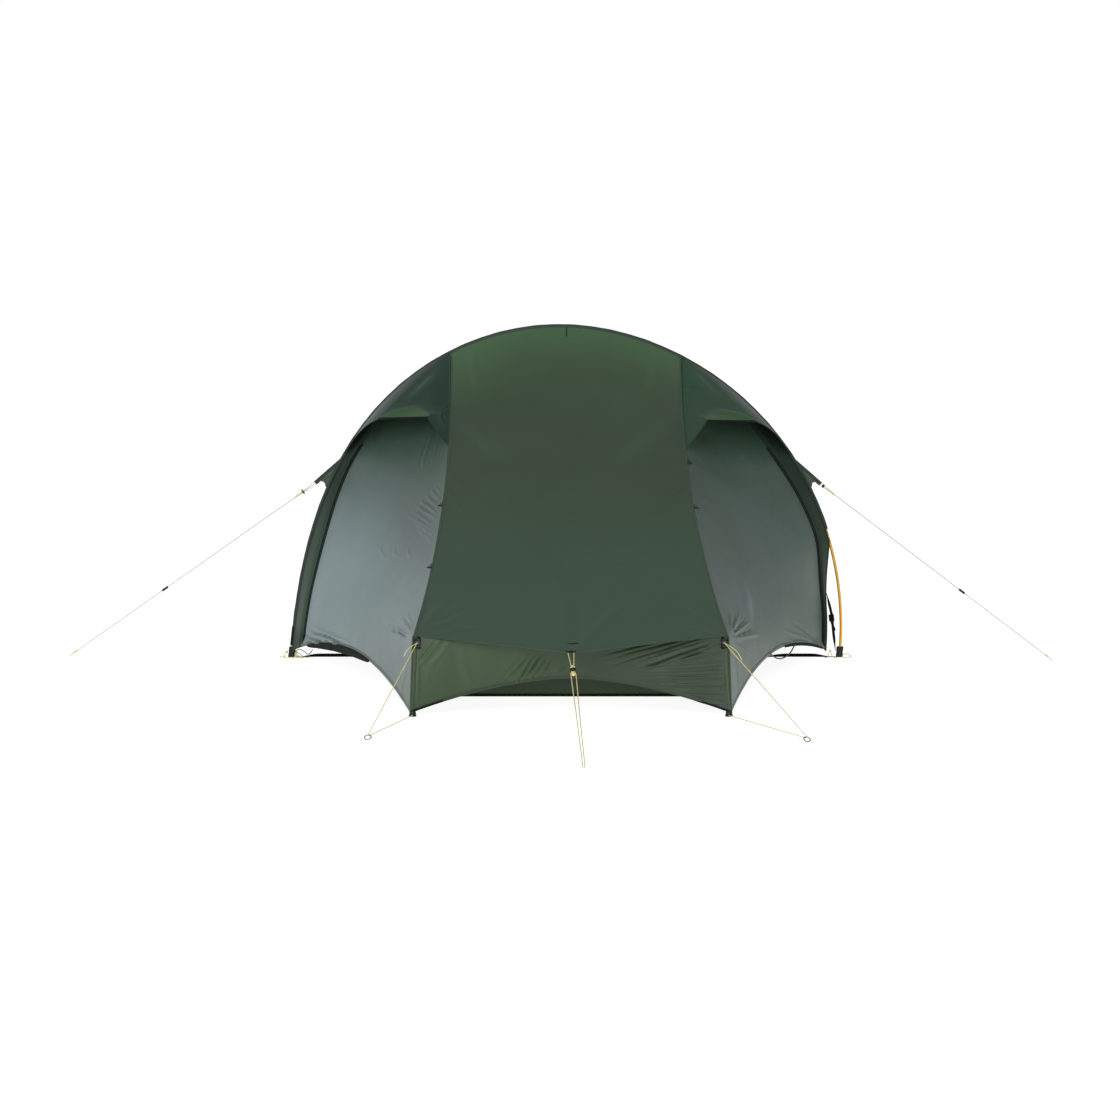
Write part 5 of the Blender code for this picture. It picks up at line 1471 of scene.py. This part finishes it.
# The black tape along the door leaf's hem widens towards its middle
leafTape = {"part": {-1: slice(8, 88), 1: slice(4, 58)}, "least": 0.006, "more": {-1: 0.018, 1: 0.004},
            "thick": 0.0024, "lift": 0.0015}
for word, side in sides.items():
    grid, outer = sideCut[word, "front"]
    onDoor = f"door_{word}"
    hem(f"band_hem_{word}", bandCloth, (grid[:, :bandColumns + 1], outer[:, :bandColumns + 1]), "first")
    leaf = (grid[:doorRows + 1, bandColumns:], outer[:doorRows + 1, bandColumns:])
    line, normals = edgeLine(*leaf, "first", s["hemInset"])
    addStrip(f"leaf_hem_{word}", sideCloth, line, normals, s["hem"], s["hemThick"], body=onDoor)
    sewn, _ = edgeLine(*leaf, "first", s["hemInset"] + s["hemStitch"])
    leafStitches[word].append((sewn, normals, s["hemThick"] / 2))
    part = leafTape["part"][side]
    line, normals = edgeLine(*leaf, "first", 0.0, part)
    bulge = np.sin(np.linspace(0, np.pi, len(line))) ** 0.6
    wide = leafTape["least"] + leafTape["more"][side] * bulge
    line = line - unit(leaf[0][1] - leaf[0][0])[part] * (wide / 2 - leafTape["least"] / 2)[:, None]
    addStrip(f"leaf_tape_{word}", hemTape, line, normals, wide, leafTape["thick"], leafTape["lift"],
             body=onDoor)

    # Zip: a tape on either side, and two rows of coils that mesh
    z = zipSize
    column, normals = grid[:doorRows + 1, bandColumns], outer[:doorRows + 1, bandColumns]
    for label, way, body, rows in (("leaf", 1, onDoor, leafStitches[word]),
                                   ("band", -1, tentBody, tentStitches)):
        towards = unit(grid[:doorRows + 1, bandColumns + way] - column)
        addStrip(f"zip_tape_{label}_{word}", hemTape, column + towards * z["offset"], normals, z["tape"],
                 z["thick"], z["lift"], body=body)
        coils = (column + towards * z["coil"], normals, z["coilLift"])
        sewRows(f"zip_coil_{label}_{word}", [coils], coilShape, coilSize["pitch"], zipNylon, 3, 0.0, body)
        rows.append((column + towards * (z["offset"] + z["stitch"]), normals, z["lift"] + z["thick"] / 2))
    for label, row in (("low", z["fromEnd"]), ("high", doorRows - z["fromEnd"])):
        along = Vector(unit(column[row + 1] - column[row]))
        out = Vector(normals[row]).normalized()
        aside = along.cross(out).normalized()
        out = aside.cross(along)
        centre = Vector(column[row]) + out * 0.0026
        axes = (aside, along, out)
        shapes = [blockMesh(centre, axes, (0.0078, 0.0100, 0.0030), 0.0009),
                  blockMesh(centre + out * 0.0023, axes, (0.0022, 0.0075, 0.0022), 0.0008),
                  hoopMesh(centre + out * 0.003 - along * 0.007, along, aside, (0.0052, 0.0026), 0.0006, 20,
                           8),
                  blockMesh(centre + out * 0.003 - along * 0.021, axes, (0.0055, 0.0190, 0.0024), 0.0010)]
        addPiece(f"zip_slider_{label}_{word}", joined(shapes), plastic)
    across, level = grid[doorRows, bandColumns:], grid[doorRows + 1, bandColumns:]
    addStrip(f"vent_seam_{word}", sideCloth, across + unit(level - across) * 0.004,
             outer[doorRows, bandColumns:], 0.006, 0.0010, -0.0012)
    hem(f"side_hem_rear_{word}", sideCloth, sideCut[word, "rear"], "first")

    # Hood: its edge is bound, and the brim's wire runs in a channel
    grid, normal, first, last = hoods[word]
    for label, part in (("inner", slice(0, first + 1)), ("outer", slice(last, None))):
        line, facing = edgeLine(grid, normal, "last", s["bindInset"], part)
        addStrip(f"hood_edge_{label}_{word}", hoodCloth, line, facing, s["bind"], 0.0018)
    line, facing = edgeLine(grid, normal, "last", s["bindInset"], slice(first, last + 1))
    addStrip(f"brim_edge_{word}", hemTape, line, facing, s["bind"], 0.0026, body=f"vent_brim_{word}")
    line, facing = edgeLine(grid[1:], normal[1:], "left", 0.002)
    facing = np.broadcast_to((side * 0.3, -0.6, 0.74), facing.shape)
    addStrip(f"hood_seam_{word}", hoodCloth, line, facing, 0.0045, 0.0009, 0.0004, 0.5)
    tentStitches.append((line, facing, 0.0009))

for word in sides:
    sewRows(f"leaf_stitches_{word}", leafStitches[word], stitchShape, stitchSize["pitch"], thread, 7,
            body=f"door_{word}")
print("seams, hems and zips are sewn")


# Guy tabs: a cloth triangle on the sleeve with webbing along its top edge

tabRows, tabColumns, tabOver = 22, 16, 5
tabSewing = {"foot": 0.0022, "sag": 0.006, "ripple": 0.0012, "webbing": (0.0095, 0.0013),
             "webbingApart": 0.0014, "webbingMiddle": 0.0050, "stitches": (0.0016, 0.0084)}
for word, side in sides.items():
    t = tabSewing
    edge, tip, tipLow, notch, reach = tabs[word]
    foot = smoothRoute([p - reach.normalized() * t["foot"] for p in edge], tabColumns)
    rise = (foot[-1] - foot[0]).normalized()
    top = tip - reach * tabSize["notch"]
    rows = []
    for r in range(tabRows + 1):
        share = min(1, r / (tabRows - tabOver))
        row = []
        for c in range(tabColumns + 1):
            place = lerp(foot[c], lerp(notch, top, c / tabColumns), share)
            place += rise * (t["sag"] * math.sin(math.pi * share) * (1 - c / tabColumns) ** 2)
            if r > tabRows - tabOver:
                place += reach * tabSize["notch"] * (r - tabRows + tabOver) / tabOver
            ripple = t["ripple"] * math.sin(9 * c / tabColumns) * math.sin(math.pi * share)
            row.append(place + Vector((0, ripple, 0)))
        rows.append(row)
    sew(f"guy_tab_cloth_{word}", asGrid(rows), roofCloth, f"guy_tab_{word}", thickness=0.0012,
        tone=0.45)
    down = (tipLow - tip).normalized()
    line = [p + down * t["webbingMiddle"] for p in steps(foot[-1], top, 12) + steps(top, tip, 4)[1:]]
    for label, y in (("a", -t["webbingApart"]), ("b", t["webbingApart"])):
        addStrip(f"guy_webbing_{label}_{word}", guyWebbing, [p + Vector((0, y, 0)) for p in line], (0, 1, 0),
                 *t["webbing"])
    for off in t["stitches"]:
        sewn = np.array([tuple(p + down * (off - t["webbingMiddle"])) for p in line[:13]])
        tentStitches.append((sewn, np.broadcast_to((0.0, -1.0, 0.0), sewn.shape), 0.0021))
    line = [lerp(foot[0], notch, i / 16) + rise * (t["sag"] * math.sin(math.pi * i / 16) + 0.002)
            for i in range(17)]
    addStrip(f"guy_tab_hem_{word}", roofCloth, line, (0, 1, 0), 0.006, 0.0022, 0, 0.45)

    # A cord runs as a V from the tab's loop to a whipped knot on the guy line
    start, stop, heading, level = sideGuys[word]
    over = heading.cross(level).normalized()
    veeLength = 0.052 if side < 0 else 0.030
    whippingAt = start + heading * veeLength
    addPiece(f"guy_whipping_{word}", tubeMesh([whippingAt + heading * (0.026 * i / 8) for i in range(9)],
             [0.0018, 0.0026, *[0.0030] * 5, 0.0026, 0.0018], 16), braid)
    vee = []
    for sign in (1, -1):
        leg = [start + over * (sign * 0.0062 * (1 - far) + sign * 0.0024 * far)
               + heading * lerp(0.001, veeLength, far) for far in np.linspace(0, 1, 12)]
        vee.append([p + level * (0.0024 * math.sin(math.pi * min(1, i / 6) / 2)) for i, p in enumerate(leg)])
    bend = vee[0][-1] + heading * 0.002 - (vee[0][-1] - vee[1][-1]) * 0.5
    addCord(f"guy_vee_{word}", [*vee[0], bend, *vee[1][::-1]], 0.0018)
    # On the left it is a flat disc at the end of the V, on the right a bead beside the tab
    bead = start + heading * (0.047 if side < 0 else 0.010)
    outline = evenOutline((0.004, 0.0022), (0.0036, 0.0040), (0.002, 0.0049))
    if side < 0:
        outline = [(along * 0.55, radius * 1.8) for along, radius in outline]
    addPiece(f"guy_bead_{word}", turnedMesh(bead, heading, outline), plastic)

    # Slider: an oval block that the line runs through, with finger grooves
    size = cordSize["slider"]
    middle = lerp(start, stop, cordSize["sliderPlace"])
    grooves = evenOutline((0.5, 0.68), (0.47, 0.78), (0.40, 0.86), (0.30, 0.96), (0.22, 1.0), (0.14, 0.90),
                          (0.05, 0.86))
    rings = []
    for along, wide in grooves + [(0.5, None), (-0.5, None)]:
        place = middle + heading * (along * size[0])
        if wide:
            rings.append([place + (level * (a * size[1]) + over * (b * size[2])) * (wide / 2)
                          for a, b in circle(1, 28)])
        else:
            rings.append([place + (level * a + over * b) * 0.0018 for a, b in circle(1, 28)])
    addPiece(f"slider_{word}", ringMesh(rings), plastic, f"guy_slider_{word}", f"guy_slider_{word}")
    knot = stop - heading * (cordSize["pegLoop"][0] + 0.004)
    outline = evenOutline((0.006, 0.0016), (0.004, 0.0028), (0, 0.0033))
    addPiece(f"guy_knot_{word}", turnedMesh(knot, heading, outline), braid)
print("guy tabs are made")


# Middle guys: bead, sewn loop and bar tack at the roof's edge

middleLook = {"bead": evenOutline((0.0055, 0.0040), (0.0048, 0.0070), (0.002, 0.0084)),
              "knot": evenOutline((0.007, 0.0028), (0.004, 0.0052), (0, 0.0060)), "knotsAt": (-0.026, 0.026)}
for word, end in ends.items():
    lip, heading = endGuys[word]
    bead = lip + heading * cordSize["neck"]
    addPiece(f"end_bead_{word}", turnedMesh(bead, heading, middleLook["bead"]), plastic)
    knots = [turnedMesh(bead + heading * along, heading, middleLook["knot"], 16)
             for along in middleLook["knotsAt"]]
    addPiece(f"end_knots_{word}", joined(knots), braid)
    normals = roofNormals[word][-3, roofColumns // 2]
    facing = Vector(normals)
    level = Vector((1, 0, 0))
    eyelets = [hoopMesh(eyeletPoint(end, side, 0.994) + facing * 0.0022, level, facing.cross(level),
                        (0.0034, 0.0034), 0.0009, 24, 8) for side in (-1, 1)]
    addPiece(f"end_eyelets_{word}", joined(eyelets), steel)
    reach = flySize["endLength"] + flySize["overhang"]
    for label, back, wide, deep in (("tack", 0.042, 0.021, 0.0035), ("loop", 0.006, 0.013, 0.0090)):
        line = [roofPoint(end, (-wide + 2 * wide * i / 8) / flySize["endHalfWidth"], 1 - back / reach)
                for i in range(9)]
        addStrip(f"end_{label}_{word}", webbing, line, normals, deep, 0.0014, 0.0020)
    line = [roofPoint(end, 0.0, t) for t in np.linspace(0.004, 0.028, 9)]
    addStrip(f"roof_tick_{word}", bandCloth, line, (0, end * 0.5, 0.8), 0.0032, 0.0014, 0.0016)


# Corners: strut with its moulded foot, fitting, webbing, ring

cornerSize = {"strut": 0.0035, "inset": 0.006, "footHeight": 0.008, "top": (0.018, 0.006, 0.026),
              "bar": (0.0150, 0.0032, 0.0034),
              "footOutline": [(0, 0.0100), (0.0006, 0.0110), (0.0024, 0.0110), (0.0040, 0.0096),
                              (0.0120, 0.0088), (0.0150, 0.0070), (0.0175, 0.0050)],
              "tail": {-1: 0.055, 1: 0.070}, "tailRoute": ((0.35, 0.10), (0.8, 0.30), (1.1, 0.62))}
c = cornerSize
for place, end, side in tentCorners:
    inward = Vector((-side * c["inset"], -end * c["inset"], 0))
    foot = corner(side, end) + inward
    head = seam(side, end, 1) + inward
    share = (flySize["endLength"] - c["inset"] + c["strut"]) / flySize["endLength"]
    head.z = roofPoint(end, head.x / flySize["endHalfWidth"], share).z - 0.0016
    out = Vector((side * 0.0006, end * 0.0006, 0))
    line = [spot + out for spot in steps(seam(side, end, 1), corner(side, end), 20)]
    addStrip(f"corner_seam_{place}", wallCloth, line, (side * 0.75, end * 0.66, 0), 0.0065, 0.0014, 0, 0.6)
    run = Vector((foot.x, foot.y, c["footHeight"]))
    shapes = [turnedMesh(Vector((foot.x, foot.y, 0)), (0, 0, 1), c["footOutline"], 32),
              tubeMesh(steps(run, head, 10), c["strut"], 18)]
    addPiece(f"strut_{place}", joined(shapes), plastic, node=f"corner_strut_{place}")
    hub, tilt, beside, fitting, facing = cornerGuyLines[place]
    wide = Vector((1, 0, 0))
    tall = facing.cross(wide).normalized()
    if tall.z < 0:
        tall = -tall
    axes = (wide, facing, tall)
    shapes = [blockMesh(fitting, axes, c["top"], 0.0012),
              blockMesh(fitting + facing * 0.0020 - tall * 0.006, axes, c["bar"], 0.0010),
              blockMesh(fitting + facing * 0.0020 + tall * 0.007, axes, c["bar"], 0.0010)]
    addPiece(f"fitting_{place}", joined(shapes), plastic, node=f"corner_fitting_{place}")
    grommet = hoopMesh(fitting + facing * 0.0034 + tall * 0.0005, wide, tall, (0.0026, 0.0026), 0.0007, 24, 8)
    addPiece(f"grommet_{place}", grommet, steel)
    line = [fitting - facing * 0.0034 + tall * t for t in np.linspace(-0.0150, 0.0200, 9)]
    addStrip(f"corner_patch_{place}", webbing, line, facing, 0.016, 0.0010)
    ring = hoopMesh(hub, tilt, beside, (cordSize["ring"], cordSize["ring"]), 1.25 * cordSize["wire"], 56, 14)
    addPiece(f"ring_{place}", ring, steel, node=f"corner_ring_{place}")
    # A loose cord end hangs from each fitting
    tail = c["tail"][side]
    start = fitting + facing * 0.0045 - wide * side * 0.002
    out = Vector((side * 0.62, end * 0.42, 0))
    route = [start] + [start + out * (far * tail) - Vector((0, 0, fall * tail))
                       for far, fall in c["tailRoute"]]
    addCord(f"corner_tail_{place}", smoothRoute(route, 24), 0.0018)
print("corners are made")


# Toggles that hold the rolled door, on the roof's seam

toggleSpots = {"left": ((437, 503), (428, 565)), "right": ((682, 463), (693, 506))}
toggleOutline = evenOutline((0.0090, 0.0012), (0.0085, 0.0022), (0.0030, 0.0022), (0.0022, 0.0015))
for word, spots in toggleSpots.items():
    line = roofs["front"][:, 0 if word == "left" else -1]
    for number, spot in enumerate(spots):
        place = nearestTo(line, spot)
        outward = Vector((sides[word] * 0.55, -0.45, 0.7)).normalized()
        hang = Vector((sides[word] * 0.25, -0.5, -0.83)).normalized()
        hang = (hang - outward * hang.dot(outward)).normalized()
        beside = outward.cross(hang).normalized()
        centre = place + outward * 0.0045 + hang * 0.008
        addPiece(f"toggle_{word}_{number}", turnedMesh(centre, beside, toggleOutline, 16), plastic)
        place = place + outward * 0.0035 + hang * 0.003
        loop = hoopMesh(place, hang, outward, (0.0072, 0.0034), 0.0009, 24, 8)
        addPiece(f"toggle_loop_{word}_{number}", loop, rubber)
print("toggles are made")


# Webbing at the pole's feet, the tensioning strap and its ladder lock

strapSize = {"wide": 0.012, "thick": 0.0012, "top": 0.203, "lock": 0.137, "lockSize": (0.004, 0.016, 0.020),
             "rail": 0.0026, "bar": 0.0028, "cup": 0.011, "gap": 0.0006}
for word, side in sides.items():
    start = archSide(side, 0).x - side * (strapSize["cup"] + 0.0016)
    stop = side * (innerSize["middle"] + 0.0008)
    line, facings = [], []
    for i in range(41):
        turn = 0.9 * float(smooth(0.05, 0.3, i / 40) * smooth(0.95, 0.6, i / 40))
        line.append(Vector((lerp(start, stop, i / 40), 0, 0.0012 + 0.0062 * math.sin(turn))))
        facings.append((0, -math.sin(turn), math.cos(turn)))
    addStrip(f"foot_webbing_{word}", webbing, line, facings, strapSize["wide"], strapSize["thick"],
             node=f"foot_strap_{word}")

edgeLow = archEdge(1, -1, stationAt(1, strapSize["lock"]))
edgeTop = archEdge(1, -1, stationAt(1, strapSize["top"]))
strapTop = Vector((edgeTop.x + 0.0014, 0, strapSize["top"]))
lockPlace = Vector((edgeLow.x + 0.0150, 0, strapSize["lock"]))
strapEnd = Vector((archSide(1, 0).x - strapSize["cup"] - strapSize["gap"] - 0.0008, 0, 0.020))


# Normals of a webbing that twists towards its middle.
def twisted(run, facing, most):
    run = run.normalized()
    other = run.cross(facing)
    angles = [most * float(smooth(0, 0.25, t) * smooth(1, 0.75, t)) for t in np.linspace(0, 1, 41)]
    return [tuple(facing * math.cos(a) + other * math.sin(a)) for a in angles]


slope = (strapEnd - lockPlace).normalized()
outside = Vector((slope.z, 0, -slope.x))
if outside.x > 0:
    outside = -outside
line = steps(strapTop, lockPlace, 16)[:-1] + steps(lockPlace, strapEnd, 24)
facings = twisted(slope, outside, -0.95)
addStrip("tension_webbing", webbing, line, facings, strapSize["wide"] - 0.002, strapSize["thick"],
         node="tension_strap")
outside = Vector(facings[20])
tail = [lockPlace + slope * 0.006 + outside * 0.004]
tail += [lockPlace + slope * far + Vector(aside) for far, aside in (
    (0.018, (-0.004, -0.006, 0)), (0.034, (-0.001, -0.010, 0)), (0.052, (0.004, -0.008, 0)))]
addStrip("tension_tail", webbing, smoothRoute(tail, 20), outside, 0.009, 0.0011)
size = strapSize["lockSize"]
place = lockPlace + slope * (0.002 + size[2] / 2) + outside * (strapSize["thick"] / 2 + 0.0003 + size[0] / 2)
level = slope.cross(outside).normalized()
axes = (outside, level, slope)
shapes = [blockMesh(place + level * (y * (size[1] / 2 - strapSize["rail"] / 2)), axes,
                    (size[0], strapSize["rail"], size[2]), 0.0008) for y in (-1, 1)]
shapes += [blockMesh(place + slope * (along * size[2]), axes,
                     (size[0] * high, size[1] - 0.002, strapSize["bar"]), 0.0008)
           for along, high in ((-0.43, 0.9), (-0.10, 1.0), (0.16, 0.8), (0.43, 0.9))]
addPiece("ladder_lock_frame", joined(shapes), plastic, node="ladder_lock")

top = arch(stationCount / 2)
high = Vector((top.x, 0, top.z - sleeveSize["inside"] - clothGap))
low = Vector((top.x, 0, innerSize["height"] + 0.0013))
addStrip("hanger", webbing, steps(high, low, 12), (1, 0, 0), 0.010, 0.0012, node="inner_hanger")


# The sleeve's closed foot is reinforced, and loose cords and loops lie at both feet

rings = []
patchRun = np.linspace(sleeveStart + 0.02, sleeveStart + 0.060 / stationLength, 24)
for grow, run in ((0.0011, patchRun), (0.0002, patchRun[::-1])):
    for station in run:
        rings.append(archRing(station, [(y + math.copysign(grow, y), n + math.copysign(grow, n))
                                        for y, n in sleeveProfile]))
addPiece("sleeve_foot_patch", ringMesh(rings), webbing)

# Loose cords in millimetres from the pole's foot: far end, how it lies, finish and route
looseSize = {"thick": 0.0026, "loop": 0.0040, "steps": 60}
leftCords = {
    "foot_cord_left_a": ("knot", "loose", braid, (
        (11, -8, 10), (20, -26, 1.9), (4, -40, 1.9), (-18, -30, 1.9), (-26, -14, 1.9), (-20, -4, 3.9))),
    "foot_cord_left_b": ("bare", "loose", braid, (
        (12, -3, 12), (26, -14, 4), (45, -20, 1.9), (58, -12, 1.9), (50, 6, 4.9))),
    "foot_cord_left_c": ("bare", "hanging", braid, (
        (-12, -6, 20), (-20, -10, 12), (-26, -16, 1.9), (-36, -12, 1.9), (-34, -2, 1.9))),
    "foot_cord_left_d": ("knot", "hanging", braid, (
        (12, -6, 18), (26, -12, 12), (38, -24, 1.9), (30, -34, 1.9), (16, -34, 1.9))),
}
otherCords = {
    "foot_loop_left": ("bare", "loose", loopRubber, (
        (11, 4, 16), (24, -10, 26), (40, -12, 20), (52, -6, 10), (60, 4, 14), (66, 6, 24))),
    "foot_cord_right_a": ("bare", "loose", braid, (
        (11.2, -4, 8), (22, -10, 12), (34, -14, 6), (32, -22, 1.9), (18, -24, 1.9), (8, -20, 1.9))),
    "foot_cord_right_b": ("bare", "hanging", braid, (
        (-30, -6, 26), (-34, -10, 14), (-38, -14, 1.9), (-46, -24, 1.9), (-44, -34, 1.9))),
    "foot_cord_right_c": ("bare", "hanging", braid, (
        (-28, -6, 24), (-26, -12, 10), (-20, -20, 1.9), (-10, -26, 1.9))),
}
footX = {word: archSide(side, 0).x for word, side in sides.items()}


def fromFoot(word, x, y, z):
    return Vector((footX[word] + x / 1000, y / 1000, z / 1000))


def layLoose(cords):
    for name, (farEnd, lay, finish, places) in cords.items():
        word = "left" if "left" in name else "right"
        route = smoothRoute([fromFoot(word, *place) for place in places], looseSize["steps"])
        addCord(name, route, looseSize["thick"], finish=finish)


layLoose(leftCords)
outline = evenOutline((0.005, 0.0016), (0.003, 0.0034), (0, 0.0040))
knots = [turnedMesh(fromFoot("left", *place), run, outline, 16) for place, run in (
    ((15.5, -6.5, 15), (1, -0.4, -0.5)), ((-15, -6.5, 17), (-1, -0.5, -1)), ((16, -34, 4), (1, 0, 0)))]
addPiece("foot_knots_left", joined(knots), braid)
layLoose(otherCords)

line, _ = edgeLine(*sideCut["right", "front"], "first", 0.004)
hung = [nearestTo(line, spot) for spot in ((772, 656), (796, 645))]
span = hung[1] - hung[0]
drop = Vector((0, 0, -0.016))
route = [hung[0] + Vector((0.001, -0.003, 0))]
route += [hung[0] + span * far + drop * fall for far, fall in ((0.25, 1.35), (0.5, 1.9), (0.8, 1.5))]
route += [hung[1] + Vector((0, -0.003, 0))]
addCord("hem_loop_right", smoothRoute(route, looseSize["steps"]), looseSize["loop"],
        finish=loopRubber)
print("straps and foot cords are laid")

sewRows("tent_stitches", tentStitches, stitchShape, stitchSize["pitch"], thread, 5)
for template in (stitchShape, coilShape):
    bpy.data.objects.remove(template)
print("stitches are sewn")
